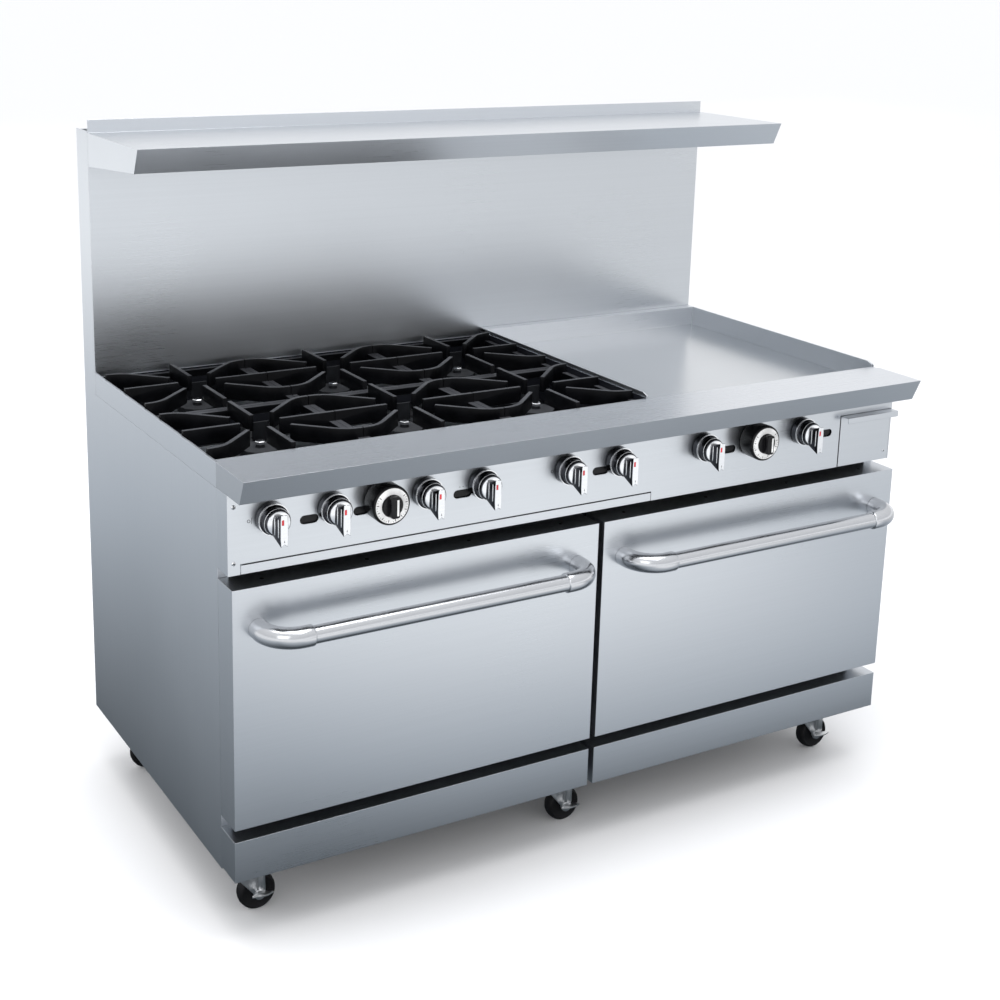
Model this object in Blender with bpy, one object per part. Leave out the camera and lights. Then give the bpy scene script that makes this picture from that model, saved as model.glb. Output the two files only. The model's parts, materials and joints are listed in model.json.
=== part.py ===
"""A 60-inch restaurant gas range: six open burners, a griddle, two ovens and a high shelf.

Metres, +Z up, the floor at z = 0, the doors facing -Y. The origin is the middle of the base.
"""
import math

import bmesh
import bpy
from mathutils import Matrix, Vector

# ---------------------------------------------------------------- driving dimensions
HALF_WIDTH = 0.762
FRONT_Y = -0.4438
REAR_Y = 0.4438
SHEET = 0.002
GAP = 0.0004
OVERCUT = 0.01

BASE_Z = 0.127
BODY_FRONT_Y = -0.2921
SIDE_TOP_Z = 0.8512
COLUMN_FRONT_Y = 0.3735
COLUMN_TOP_Z = 1.390
FLANGE = 0.018
DECK_Z = 0.690
DIVIDER_HALF = 0.0015
CASTER_PLATE_HALF = (0.038, 0.038)
CASTER_PLATE_DROP = 0.004

BACKGUARD_Y = 0.3710
BACKGUARD_LOW_Z = 0.853
BACKGUARD_TOP_Z = 1.388

SHELF_Z = 1.387
SHELF_FRONT_Y = 0.0724
SHELF_LIP_Y = 0.0950
SHELF_LIP_Z = 1.3393
SHELF_BACK_LOW_Z = 1.320
SHELF_TOP_Z = 1.4128

LEDGE_Z = 0.8974
LEDGE_FRONT_Y = -0.4144
LEDGE_LIP_Y = -0.3945
LEDGE_LOW_Z = 0.8526
LEDGE_BACK_Y = -0.2788

PANEL_Y = -0.3397
PANEL_LOW_Z = 0.7066
PANEL_TOP_Z = 0.8522
KNOB_Z = 0.802
BURNER_KNOB_X = (-0.683, -0.566, -0.380, -0.2625, -0.074, 0.043)
GRIDDLE_KNOB_X = (0.252, 0.508)
THERMOSTAT_X = (-0.470, 0.378)
SLOT_Z = 0.7865
SLOT_SPAN = ((-0.628, -0.592), (-0.525, -0.494), (-0.322, -0.283),
             (-0.015, 0.023), (0.300, 0.336), (0.558, 0.594))
SLOT_HEIGHT = 0.016
SHAFT_RADIUS = 0.004
SHAFT_HOLE_RADIUS = 0.006

TRAY_X = (-0.7389, 0.1279)
TRAY_TOP_Z = 0.7255
TRAY_BACK_Y = 0.330
DRAWER_X = (0.6155, 0.7600)
DRAWER_TOP_Z = 0.8190
DRAWER_BACK_Y = -0.020
DRAWER_BOX_TOP_Z = 0.8055
DRAWER_LIP_REACH = 0.022
DRAWER_LIP_DROP = 0.012
PAN_WALL = 0.0015
PAN_CLEARANCE = 0.0003

DOOR_OUTER_X = 0.762
DOOR_INNER_X = (-0.007, 0.006)
DOOR_Y = -0.3577
DOOR_BACK_Y = -0.2932
DOOR_LOW_Z = 0.235
DOOR_TOP_Z = 0.687
DOOR_LINING_DEPTH = 0.040
DOOR_LINING_SETBACK = 0.001
HINGE_Y = -0.345
HINGE_Z = 0.243
KICK_Y = -0.3561
KICK_LOW_Z = 0.132
KICK_TOP_Z = 0.211

HANDLE_Z = 0.6105
HANDLE_HALF_SPAN = 0.330
HANDLE_SEAM = 0.258
HANDLE_BEND = 0.055
BAR_RADIUS = 0.016
ELBOW_RADIUS = 0.019

CAVITY_X = (0.051, 0.711)
CAVITY_Z = (0.262, 0.618)
CAVITY_BACK_Y = 0.270
LINER_FRONT_Y = -0.2890
LINER_WALL = 0.003
RUNNER_Z = (0.330, 0.440, 0.530)
RACK_Z = 0.440
RUNNER_REACH = 0.014
RUNNER_THICK = 0.003
RUNNER_DROP = 0.0035
RACK_HALF_DEPTH = 0.262
RACK_ROD = 0.007
RACK_WIRE = 0.004
RACK_WIRES = 8
MOUTH_DEPTH = 0.02
AIR_SLOT_Y = (-0.255, 0.225)
AIR_SLOT_WIDTH = 0.02
AIR_SLOT_MARGIN = 0.08

COLUMN_X = (-0.604, -0.302, 0.000)
ROW_Y = (-0.1113, 0.2081)
GRATE_WIDTH = 0.3014
GRATE_DEPTH = 0.3188
GRATE_LOW_Z = 0.8714
GRATE_FRAME_Z = 0.8854
GRATE_TOP_Z = 0.9034
GRATE_BAR = 0.012
FINGER = 0.008
GRATE_LEVEL_Z = 0.8710

BOX_RIGHT_X = 0.1540
BOX_LOW_Z = 0.800
BOX_BACK_Y = 0.3705
BOX_WALL = 0.0016
BOX_FRONT_Z = 0.835
BOX_BACK_Z = 0.888
GRATE_REST_DEPTH = 0.020
GRATE_REST_WIDTH = 0.014
MIDDLE_REST_HALF = 0.012
COLUMN_REST_HALF = 0.010

GRIDDLE_X = (0.1545, 0.7595)
GRIDDLE_PLATE_Z = 0.8625
GRIDDLE_PLATE_THICK = 0.019
SPLASH_Z = 0.906
SPLASH_Y = 0.3469
SPLASH_THICK = 0.003
TROUGH_Y = (-0.2740, -0.1950)
TROUGH_Z = 0.8165
CHUTE_X = (0.655, 0.725)
CHUTE_Y = (-0.262, -0.212)
CHUTE_LOW_Z = 0.807
SPLASH_SLOPE_Y = (-0.2862, -0.2614)

INLET_X = 0.600
INLET_RADIUS = 0.0134
INLET_HOLE_RADIUS = 0.022
INLET_BEND = 0.03
MANIFOLD_X = -0.725
MANIFOLD_Y = -0.312
MANIFOLD_RADIUS = 0.012
VALVE_RADIUS = 0.014
SHAFT_REACH = 0.012
GRIDDLE_BURNER_RADIUS = 0.0105
GRIDDLE_BURNER_BACK_Y = 0.300
OVEN_BURNER_Z = 0.205
OVEN_FEED_Y = 0.200
OVEN_FEED_RADIUS = 0.011
OVEN_BURNER_RADIUS = 0.022
OVEN_BURNER_Y = (-0.200, 0.240)
MIXER_Z = 0.812
MIXER_RADIUS = 0.013
MIXER_HALF = 0.011
SHIELD_X = (0.0052, 0.0382)
SHIELD_Y = (0.0478, 0.0498)
SHIELD_FOOT_Y = 0.030
SHIELD_Z = (0.822, 0.886)
SHIELD_FOOT_Z = 0.826

CASTER_X = (-0.703, -0.018, 0.667)
CASTER_Y = (-0.2475, 0.360)
CASTER_TRAIL = 0.025
WHEEL_RADIUS = 0.0375
WHEEL_SIDES = 18
AXLE_Z = WHEEL_RADIUS * math.cos(math.pi / WHEEL_SIDES)
WHEEL_HALF_WIDTH = 0.014
AXLE_RADIUS = 0.004
AXLE_HALF_LENGTH = 0.0236
BORE_CLEARANCE = 0.0005
FORK_LEG_Y = (0.0165, 0.0195)
FORK_BOSS_RADIUS = 0.012
FORK_CROWN_Z = (0.0950, 0.1010)
FORK_CROWN_X = (-0.026, 0.036)
FORK_CROWN_SKIRT = 0.008
SWIVEL_RADII = (0.022, 0.030, 0.034)
SWIVEL_TOP_Z = 0.1222
BRAKE_POST_RADIUS = 0.0075
BRAKE_POST_Y = -0.0250
PEDAL_DISC_RADIUS = 0.0110
PEDAL_DISC_Y = (-0.0224, -0.0202)
PEDAL_REACH_Y = -0.0400
PEDAL_PLATE_Z = (0.0048, 0.0078)

KNOB_STAND_OFF = 0.0012
KNOB_BORE_RADIUS = 0.0046
KNOB_BORE_DEPTH = 0.013
KNOB_SKIRT_DEPTH = 0.015
KNOB_CAP_DEPTH = 0.035
KNOB_DEPTH = 0.058
DIAL_DRUM_DEPTH = 0.040
DIAL_DEPTH = 0.056
GRIP_ROOT = 0.006

STEEL = ((0.62, 0.64, 0.66), 1.0, 0.32)
GALVANISED = ((0.50, 0.52, 0.54), 1.0, 0.45)
ENAMEL = ((0.05, 0.06, 0.08), 0.0, 0.30)
IRON = ((0.035, 0.037, 0.040), 0.2, 0.65)
CHROME = ((0.80, 0.81, 0.82), 1.0, 0.10)
BLACK_PLASTIC = ((0.02, 0.02, 0.02), 0.0, 0.35)
RUBBER = ((0.025, 0.025, 0.027), 0.0, 0.75)
GRIDDLE_STEEL = ((0.55, 0.56, 0.57), 1.0, 0.28)


# ---------------------------------------------------------------- making shapes
def block_body(solids, voids=()):
    """One closed body: the axis-aligned blocks joined, with the voids taken out."""
    lines = []
    for axis in range(3):
        stops = {round(block[end][axis], 7) for block in (*solids, *voids) for end in (0, 1)}
        lines.append(sorted(stops))

    def covered(middle, blocks):
        return any(all(lo[a] < middle[a] < hi[a] for a in range(3)) for lo, hi in blocks)

    filled = set()
    counts = [len(stops) - 1 for stops in lines]
    for i in range(counts[0]):
        for j in range(counts[1]):
            for k in range(counts[2]):
                cell = (i, j, k)
                middle = [(lines[a][cell[a]] + lines[a][cell[a] + 1]) / 2 for a in range(3)]
                if covered(middle, solids) and not covered(middle, voids):
                    filled.add(cell)

    bm = bmesh.new()
    corners = {}

    def corner(index):
        if index not in corners:
            corners[index] = bm.verts.new([lines[a][index[a]] for a in range(3)])
        return corners[index]

    for cell in filled:
        for axis in range(3):
            first, second = (axis + 1) % 3, (axis + 2) % 3
            for side in (0, 1):
                neighbour = list(cell)
                neighbour[axis] += 1 if side else -1
                if tuple(neighbour) in filled:
                    continue
                loop = []
                for a, b in ((0, 0), (1, 0), (1, 1), (0, 1)):
                    index = list(cell)
                    index[axis] += side
                    index[first] += a
                    index[second] += b
                    loop.append(corner(tuple(index)))
                if not side:
                    loop.reverse()
                bm.faces.new(loop)
    bm.normal_update()
    bmesh.ops.dissolve_limit(bm, angle_limit=0.001, verts=bm.verts[:], edges=bm.edges[:])
    return bm


def prism(profile, axis, low, high):
    """A flat outline carried along one axis; the outline gives the other two coordinates in order."""
    bm = bmesh.new()
    ends = []
    for level in (low, high):
        ring = []
        for point in profile:
            spot = list(point)
            spot.insert(axis, level)
            ring.append(bm.verts.new(spot))
        ends.append(ring)
    count = len(profile)
    bm.faces.new(ends[0])
    bm.faces.new(ends[1])
    for i in range(count):
        j = (i + 1) % count
        bm.faces.new((ends[0][i], ends[0][j], ends[1][j], ends[1][i]))
    bmesh.ops.recalc_face_normals(bm, faces=bm.faces[:])
    return bm


def turned(profile, centre, axis, segments, bored=False):
    """A body of revolution; the outline is (radius, distance along the axis)."""
    bm = bmesh.new()
    across = Vector([1.0 if a == (axis + 1) % 3 else 0.0 for a in range(3)])
    along = Vector([1.0 if a == axis else 0.0 for a in range(3)])
    up = along.cross(across)
    centre = Vector(centre)
    rings = []
    for radius, distance in profile:
        ring = []
        for step in range(segments):
            angle = 2 * math.pi * step / segments
            spoke = across * math.cos(angle) + up * math.sin(angle)
            ring.append(bm.verts.new(centre + along * distance + spoke * radius))
        rings.append(ring)
    pairs = list(zip(rings, rings[1:]))
    if bored:
        pairs.append((rings[-1], rings[0]))
    else:
        bm.faces.new(rings[0])
        bm.faces.new(rings[-1])
    for ring, following in pairs:
        for i in range(segments):
            j = (i + 1) % segments
            bm.faces.new((ring[i], ring[j], following[j], following[i]))
    bmesh.ops.recalc_face_normals(bm, faces=bm.faces[:])
    return bm


def tube(points, radii, segments):
    """A round bar along a level path, with a radius at every point."""
    bm = bmesh.new()
    up = Vector((0, 0, 1))
    points = [Vector(point) for point in points]
    rings = []
    for i, point in enumerate(points):
        before = points[max(i - 1, 0)]
        after = points[min(i + 1, len(points) - 1)]
        if (point - before).length < 1e-7:
            before = points[max(i - 2, 0)]
        if (after - point).length < 1e-7:
            after = points[min(i + 2, len(points) - 1)]
        side = (after - before).normalized().cross(up).normalized()
        ring = []
        for step in range(segments):
            angle = 2 * math.pi * step / segments
            ring.append(bm.verts.new(point + (side * math.cos(angle) + up * math.sin(angle)) * radii[i]))
        rings.append(ring)
    bm.faces.new(rings[0])
    bm.faces.new(rings[-1])
    for ring, following in zip(rings, rings[1:]):
        for i in range(segments):
            j = (i + 1) % segments
            bm.faces.new((ring[i], ring[j], following[j], following[i]))
    bmesh.ops.recalc_face_normals(bm, faces=bm.faces[:])
    return bm


def merged(shapes):
    """Several shapes that stand apart, gathered into one."""
    bm = bmesh.new()
    for shape in shapes:
        mesh = bpy.data.meshes.new("gathered")
        shape.to_mesh(mesh)
        bm.from_mesh(mesh)
        bpy.data.meshes.remove(mesh)
        shape.free()
    return bm


def boolean(base, tool, operation):
    """The base with the tool joined to it or cut from it."""
    objects = []
    for shape, label in ((base, "base"), (tool, "tool")):
        mesh = bpy.data.meshes.new(label)
        shape.to_mesh(mesh)
        shape.free()
        body = bpy.data.objects.new(label, mesh)
        bpy.context.scene.collection.objects.link(body)
        objects.append(body)
    step = objects[0].modifiers.new("join", "BOOLEAN")
    step.operation = operation
    step.solver = "EXACT"
    step.object = objects[1]
    bpy.context.view_layer.update()
    result = bmesh.new()
    result.from_object(objects[0], bpy.context.evaluated_depsgraph_get())
    for body in objects:
        mesh = body.data
        bpy.data.objects.remove(body)
        bpy.data.meshes.remove(mesh)
    bmesh.ops.remove_doubles(result, verts=result.verts[:], dist=0.00001)
    bmesh.ops.dissolve_limit(result, angle_limit=0.001, verts=result.verts[:], edges=result.edges[:])
    return result


def moved(bm, shift):
    """The shape carried by a vector."""
    bmesh.ops.translate(bm, verts=bm.verts[:], vec=Vector(shift))
    return bm


def mirrored(blocks):
    """The same blocks on the other side of the middle plane."""
    return [((-hi[0], lo[1], lo[2]), (-lo[0], hi[1], hi[2])) for lo, hi in blocks]


def mesh_from(bm, name, round_edges):
    """A mesh from a shape; its gentle edges are shaded round when asked."""
    for face in bm.faces:
        face.smooth = round_edges
    for edge in bm.edges:
        edge.smooth = edge.is_manifold and edge.calc_face_angle(0.0) < math.radians(35)
    mesh = bpy.data.meshes.new(name)
    bm.to_mesh(mesh)
    bm.free()
    return mesh


def place(name, mesh, look, origin=(0.0, 0.0, 0.0)):
    """One named piece with its own material, standing at its origin."""
    body = bpy.data.objects.new(name, mesh)
    body.location = origin
    bpy.context.scene.collection.objects.link(body)
    colour, metallic, roughness = look
    material = bpy.data.materials.new(name)
    material.use_nodes = True
    shader = material.node_tree.nodes["Principled BSDF"]
    shader.inputs["Base Color"].default_value = (*colour, 1.0)
    shader.inputs["Metallic"].default_value = metallic
    shader.inputs["Roughness"].default_value = roughness
    if not mesh.materials:
        mesh.materials.append(material)
    else:
        body.material_slots[0].link = "OBJECT"
        body.material_slots[0].material = material
    return body


def add(name, bm, look, origin=(0.0, 0.0, 0.0), round_edges=False):
    """A piece drawn in place, with its origin moved to the given point."""
    moved(bm, -Vector(origin))
    return place(name, mesh_from(bm, name, round_edges), look, origin)


# ---------------------------------------------------------------- cabinet
def side_panel_blocks():
    """The left side: an L-shaped sheet whose rear strip rises as a column."""
    out, inner = -HALF_WIDTH, -HALF_WIDTH + SHEET
    return [
        ((out, BODY_FRONT_Y, BASE_Z), (inner, REAR_Y, SIDE_TOP_Z)),
        ((out, COLUMN_FRONT_Y, SIDE_TOP_Z), (inner, REAR_Y, COLUMN_TOP_Z)),
        ((inner, BODY_FRONT_Y, BASE_Z), (inner + FLANGE, BODY_FRONT_Y + SHEET, PANEL_LOW_Z)),
        ((inner, BODY_FRONT_Y, BASE_Z), (inner + FLANGE, REAR_Y - 2 * SHEET - GAP, BASE_Z + SHEET)),
        ((inner, COLUMN_FRONT_Y, BACKGUARD_LOW_Z), (inner + FLANGE, COLUMN_FRONT_Y + SHEET, COLUMN_TOP_Z)),
    ]


def build_cabinet():
    add("side_panel_left", block_body(side_panel_blocks()), STEEL)
    add("side_panel_right", block_body(mirrored(side_panel_blocks())), STEEL)

    edge = HALF_WIDTH - SHEET - GAP
    back = block_body([((-edge, REAR_Y - SHEET, BASE_Z + SHEET), (edge, REAR_Y, BACKGUARD_TOP_Z))])
    inlet_hole = turned([(INLET_HOLE_RADIUS, REAR_Y - OVERCUT), (INLET_HOLE_RADIUS, REAR_Y + OVERCUT)],
                        (INLET_X, 0, KNOB_Z), 1, 24)
    add("back_panel", boolean(back, inlet_hole, "DIFFERENCE"), GALVANISED)

    add("backguard", block_body([
        ((-HALF_WIDTH, BACKGUARD_Y, BACKGUARD_LOW_Z), (HALF_WIDTH, BACKGUARD_Y + SHEET, BACKGUARD_TOP_Z)),
    ]), STEEL)

    add("chassis", chassis_body(), GALVANISED)
    for name, side in (("kick_plate_left", -1), ("kick_plate_right", 1)):
        add(name, block_body(kick_blocks(side)), STEEL)


def door_span(side):
    """Left and right edges of the door and kick plate on one side."""
    return (-DOOR_OUTER_X, DOOR_INNER_X[0]) if side < 0 else (DOOR_INNER_X[1], DOOR_OUTER_X)


def kick_blocks(side):
    """A folded strip under a door: front, top and two ends."""
    left, right = door_span(side)
    back = BODY_FRONT_Y - GAP
    return [
        ((left, KICK_Y, KICK_LOW_Z), (right, KICK_Y + SHEET, KICK_TOP_Z)),
        ((left, KICK_Y, KICK_TOP_Z - SHEET), (right, back, KICK_TOP_Z)),
        ((left, KICK_Y, KICK_LOW_Z), (left + SHEET, back, KICK_TOP_Z)),
        ((right - SHEET, KICK_Y, KICK_LOW_Z), (right, back, KICK_TOP_Z)),
    ]


def chassis_body():
    """Floor pan, caster plates, middle wall, deck above the ovens and the face frame round them."""
    edge = HALF_WIDTH - SHEET - GAP
    pan_z = BASE_Z + SHEET + GAP
    back = REAR_Y - SHEET - GAP
    face = LINER_FRONT_Y + LINER_WALL + GAP
    frame_back = face + SHEET
    flange_clear = BODY_FRONT_Y + SHEET + GAP
    solids = [
        ((-edge, flange_clear, pan_z), (edge, back, pan_z + SHEET)),
        ((-edge, flange_clear, DECK_Z), (edge, back, DECK_Z + SHEET)),
        ((-DIVIDER_HALF, face, pan_z), (DIVIDER_HALF, back, DECK_Z + SHEET)),
        ((-edge, face, pan_z), (edge, frame_back, DECK_Z + SHEET)),
    ]
    half_x, half_y = CASTER_PLATE_HALF
    for x in CASTER_X:
        for y in CASTER_Y:
            solids.append(((x - half_x, y - half_y, BASE_Z - CASTER_PLATE_DROP),
                           (x + half_x, y + half_y, pan_z + SHEET)))
    voids = []
    margin = LINER_WALL + GAP + 0.001
    for side in (-1, 1):
        left, right = sorted((side * CAVITY_X[0], side * CAVITY_X[1]))
        voids.append(((left - margin, face - OVERCUT, CAVITY_Z[0] - margin),
                      (right + margin, frame_back + OVERCUT, CAVITY_Z[1] + margin)))
    hole = 0.02
    voids.append(((-OVERCUT, OVEN_FEED_Y - hole, OVEN_BURNER_Z - hole),
                  (OVERCUT, OVEN_FEED_Y + hole, OVEN_BURNER_Z + hole)))
    return block_body(solids, voids)


# ---------------------------------------------------------------- front of the top
def build_front():
    slot_half = SLOT_HEIGHT / 2
    left, right = -HALF_WIDTH, HALF_WIDTH
    back = BODY_FRONT_Y - GAP
    plate = block_body(
        [
            ((left, PANEL_Y, PANEL_LOW_Z), (right, PANEL_Y + SHEET, PANEL_TOP_Z)),
            ((left, PANEL_Y, PANEL_LOW_Z), (left + SHEET, back, PANEL_TOP_Z)),
            ((right - SHEET, PANEL_Y, PANEL_LOW_Z), (right, back, PANEL_TOP_Z)),
        ],
        [
            ((TRAY_X[0], PANEL_Y - OVERCUT, PANEL_LOW_Z - OVERCUT),
             (TRAY_X[1], PANEL_Y + OVERCUT, TRAY_TOP_Z)),
            ((DRAWER_X[0], PANEL_Y - OVERCUT, PANEL_LOW_Z - OVERCUT),
             (DRAWER_X[1], PANEL_Y + OVERCUT, DRAWER_TOP_Z)),
        ],
    )
    cutters = []
    for start, stop in SLOT_SPAN:
        outline = []
        for centre, first in ((stop - slot_half, -90), (start + slot_half, 90)):
            for step in range(7):
                angle = math.radians(first + 30 * step)
                outline.append((centre + slot_half * math.cos(angle), SLOT_Z + slot_half * math.sin(angle)))
        cutters.append(prism(outline, 1, PANEL_Y - OVERCUT, PANEL_Y + OVERCUT))
    for x in (*BURNER_KNOB_X, *GRIDDLE_KNOB_X, *THERMOSTAT_X):
        ends = [(SHAFT_HOLE_RADIUS, PANEL_Y - OVERCUT), (SHAFT_HOLE_RADIUS, PANEL_Y + OVERCUT)]
        cutters.append(turned(ends, (x, 0, KNOB_Z), 1, 12))
    add("control_panel", boolean(plate, merged(cutters), "DIFFERENCE"), STEEL)

    outside = [(LEDGE_FRONT_Y, LEDGE_Z), (LEDGE_LIP_Y, LEDGE_LOW_Z), (back, LEDGE_LOW_Z), (back, LEDGE_Z)]
    slope = (LEDGE_LIP_Y - LEDGE_FRONT_Y) / (LEDGE_Z - LEDGE_LOW_Z)
    top = LEDGE_Z - SHEET
    low = LEDGE_LOW_Z - OVERCUT
    inner_front = LEDGE_FRONT_Y + SHEET + slope * (LEDGE_Z - top)
    inner_low = LEDGE_FRONT_Y + SHEET + slope * (LEDGE_Z - low)
    hollow = [(inner_front, top), (inner_low, low), (back + OVERCUT, low), (back + OVERCUT, top)]
    inside = prism(hollow, 0, left + SHEET, right - SHEET)
    ledge = boolean(prism(outside, 0, left, right), inside, "DIFFERENCE")
    # a thin strip carries the ledge back to the cooking top
    strip = block_body([((left + 0.004, back - 0.03, LEDGE_Z - 0.0015),
                         (right - 0.006, LEDGE_BACK_Y, LEDGE_Z - 0.0003))])
    add("front_ledge", boolean(ledge, strip, "UNION"), STEEL)


def build_shelf():
    left, right = -HALF_WIDTH, HALF_WIDTH
    back = BACKGUARD_Y - GAP
    outside = [(SHELF_FRONT_Y, SHELF_Z), (SHELF_LIP_Y, SHELF_LIP_Z),
               (back, SHELF_BACK_LOW_Z), (back, SHELF_Z)]
    slope = (SHELF_LIP_Y - SHELF_FRONT_Y) / (SHELF_Z - SHELF_LIP_Z)
    top = SHELF_Z - SHEET
    low = SHELF_BACK_LOW_Z - OVERCUT
    hollow = [
        (SHELF_FRONT_Y + SHEET + slope * SHEET, top),
        (SHELF_FRONT_Y + SHEET + slope * (SHELF_Z - low), low),
        (back - SHEET, low),
        (back - SHEET, top),
    ]
    inside = prism(hollow, 0, left + SHEET, right - SHEET)
    shelf = boolean(prism(outside, 0, left, right), inside, "DIFFERENCE")
    upstand = block_body([((left, back - SHEET, SHELF_Z - 0.001), (right, back - 0.0002, SHELF_TOP_Z))])
    add("high_shelf", boolean(shelf, upstand, "UNION"), STEEL)


# ---------------------------------------------------------------- doors and ovens
def handle_body(middle):
    """A bar with a thicker elbow at each end that turns back to the door."""
    foot_y = DOOR_Y - GAP
    bar_y = FRONT_Y + ELBOW_RADIUS
    points, radii = [], []
    for side in (-1, 1):
        half = [((side * HANDLE_HALF_SPAN, foot_y), ELBOW_RADIUS)]
        for step in range(6):
            angle = math.radians(18 * step)
            x = HANDLE_HALF_SPAN - HANDLE_BEND * (1 - math.cos(angle))
            half.append(((side * x, bar_y + HANDLE_BEND * (1 - math.sin(angle))), ELBOW_RADIUS))
        half.append(((side * HANDLE_SEAM, bar_y), ELBOW_RADIUS))
        half.append(((side * HANDLE_SEAM, bar_y), BAR_RADIUS))
        if side > 0:
            half.reverse()
        for (x, y), radius in half:
            points.append((middle + x, y, HANDLE_Z))
            radii.append(radius)
    return tube(points, radii, 12)


def build_doors():
    for word, side in (("left", -1), ("right", 1)):
        left, right = door_span(side)
        pivot = ((left + right) / 2, HINGE_Y, HINGE_Z)
        skin = block_body(
            [((left, DOOR_Y, DOOR_LOW_Z), (right, DOOR_BACK_Y, DOOR_TOP_Z))],
            [((left + SHEET, DOOR_Y + SHEET, DOOR_LOW_Z + SHEET), (right - SHEET, 0, DOOR_TOP_Z - SHEET))],
        )
        add("door_outer_" + word, skin, STEEL, pivot)
        clear = SHEET + GAP
        lining_back = DOOR_BACK_Y - DOOR_LINING_SETBACK
        lining = block_body(
            [((left + clear, DOOR_BACK_Y - DOOR_LINING_DEPTH, DOOR_LOW_Z + clear),
              (right - clear, lining_back, DOOR_TOP_Z - clear))],
            [((left + 2 * clear, DOOR_Y, DOOR_LOW_Z + 2 * clear),
              (right - 2 * clear, lining_back - SHEET, DOOR_TOP_Z - 2 * clear))],
        )
        add("door_inner_" + word, lining, GALVANISED, pivot)
        add("door_handle_" + word, handle_body(pivot[0]), CHROME, pivot, True)


def liner_blocks(side):
    """An oven lining: five walls, a flange round the mouth and runners for the rack."""
    left, right = sorted((side * CAVITY_X[0], side * CAVITY_X[1]))
    low, high = CAVITY_Z
    wall = LINER_WALL
    solids = [
        ((left - wall, LINER_FRONT_Y, low - wall), (right + wall, CAVITY_BACK_Y + wall, high + wall)),
        ((left - 0.022, LINER_FRONT_Y, low - 0.018), (right + 0.022, LINER_FRONT_Y + wall, high + 0.022)),
    ]
    voids = [((left + AIR_SLOT_MARGIN, y, low - OVERCUT),
              (right - AIR_SLOT_MARGIN, y + AIR_SLOT_WIDTH, low + 0.001)) for y in AIR_SLOT_Y]
    # the cavity is taken out in layers so that the runners stay on both side walls
    mouth_y = LINER_FRONT_Y + MOUTH_DEPTH
    levels = [z - RUNNER_DROP for z in RUNNER_Z]
    layers = [low, *[v for z in levels for v in (z, z + RUNNER_THICK)], high]
    for n, (under, over) in enumerate(zip(layers, layers[1:])):
        inset = RUNNER_REACH if n % 2 else 0.0
        voids.append(((left + inset, mouth_y, under), (right - inset, CAVITY_BACK_Y, over)))
    voids.append(((left, LINER_FRONT_Y - OVERCUT, low), (right, mouth_y, high)))
    return solids, voids


def rack_body(side):
    """A wire rack: a rim, two cross bars and wires from front to back."""
    left, right = sorted((side * (CAVITY_X[0] + 0.003), side * (CAVITY_X[1] - 0.003)))
    front, back = -RACK_HALF_DEPTH, RACK_HALF_DEPTH
    rod, wire, low = RACK_ROD, RACK_WIRE, RACK_Z
    solids = [
        ((left, front, low), (left + rod, back, low + rod)),
        ((right - rod, front, low), (right, back, low + rod)),
        ((left, front, low), (right, front + rod, low + rod)),
        ((left, back - rod, low), (right, back, low + rod)),
        ((left, -0.003, low), (right, 0.003, low + 0.003)),
    ]
    for n in range(1, RACK_WIRES + 1):
        x = left + (right - left) * n / (RACK_WIRES + 1)
        solids.append(((x - wire / 2, front, low + 0.003), (x + wire / 2, back, low + rod)))
    return block_body(solids)


def build_ovens():
    for word, side in (("left", -1), ("right", 1)):
        solids, voids = liner_blocks(side)
        add("oven_liner_" + word, block_body(solids, voids), ENAMEL)
        middle = side * (CAVITY_X[0] + CAVITY_X[1]) / 2
        add("oven_rack_" + word, rack_body(side), CHROME, (middle, 0.0, RACK_Z))

    reach = (CAVITY_X[0] + CAVITY_X[1]) / 2
    feed = tube([(-reach, OVEN_FEED_Y, OVEN_BURNER_Z), (reach, OVEN_FEED_Y, OVEN_BURNER_Z)],
                (OVEN_FEED_RADIUS, OVEN_FEED_RADIUS), 12)
    front, back = OVEN_BURNER_Y
    bar_z = OVEN_BURNER_Z + 0.001
    bars = [tube([(side * reach, front, bar_z), (side * reach, back, bar_z)],
                 (OVEN_BURNER_RADIUS, OVEN_BURNER_RADIUS), 16) for side in (-1, 1)]
    add("oven_burners", boolean(feed, merged(bars), "UNION"), IRON, (0, 0, 0), True)


# ---------------------------------------------------------------- cooking top
def build_burner_box():
    inner = HALF_WIDTH - SHEET - GAP
    front, back = LEDGE_BACK_Y + 0.0008, BOX_BACK_Y
    wall = BOX_WALL
    skirt_low = SIDE_TOP_Z + GAP
    top = LEDGE_Z
    bar_low = GRATE_LEVEL_Z - GRATE_REST_DEPTH
    right = BOX_RIGHT_X
    solids = [
        ((-HALF_WIDTH, BODY_FRONT_Y + GAP, skirt_low), (-inner + wall, back, top)),
        ((-inner, front, BOX_LOW_Z), (-inner + wall, back, top)),
        ((right - wall, front, BOX_LOW_Z), (right, back, top)),
        ((-inner, front, BOX_FRONT_Z), (right, front + wall, top - 0.0005)),
        ((-inner, back - wall, BOX_LOW_Z), (right, back, BOX_BACK_Z)),
        ((-inner, front, bar_low), (right, front + GRATE_REST_WIDTH, GRATE_LEVEL_Z)),
        ((-inner, back - GRATE_REST_WIDTH, bar_low), (right, back, GRATE_LEVEL_Z)),
    ]
    middle = (ROW_Y[0] + ROW_Y[1]) / 2
    solids.append(((-inner, middle - MIDDLE_REST_HALF, bar_low),
                   (right, middle + MIDDLE_REST_HALF, GRATE_LEVEL_Z)))
    for x in ((COLUMN_X[0] + COLUMN_X[1]) / 2, (COLUMN_X[1] + COLUMN_X[2]) / 2):
        solids.append(((x - COLUMN_REST_HALF, front, bar_low), (x + COLUMN_REST_HALF, back, GRATE_LEVEL_Z)))
    add("burner_box", block_body(solids), STEEL)


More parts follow.
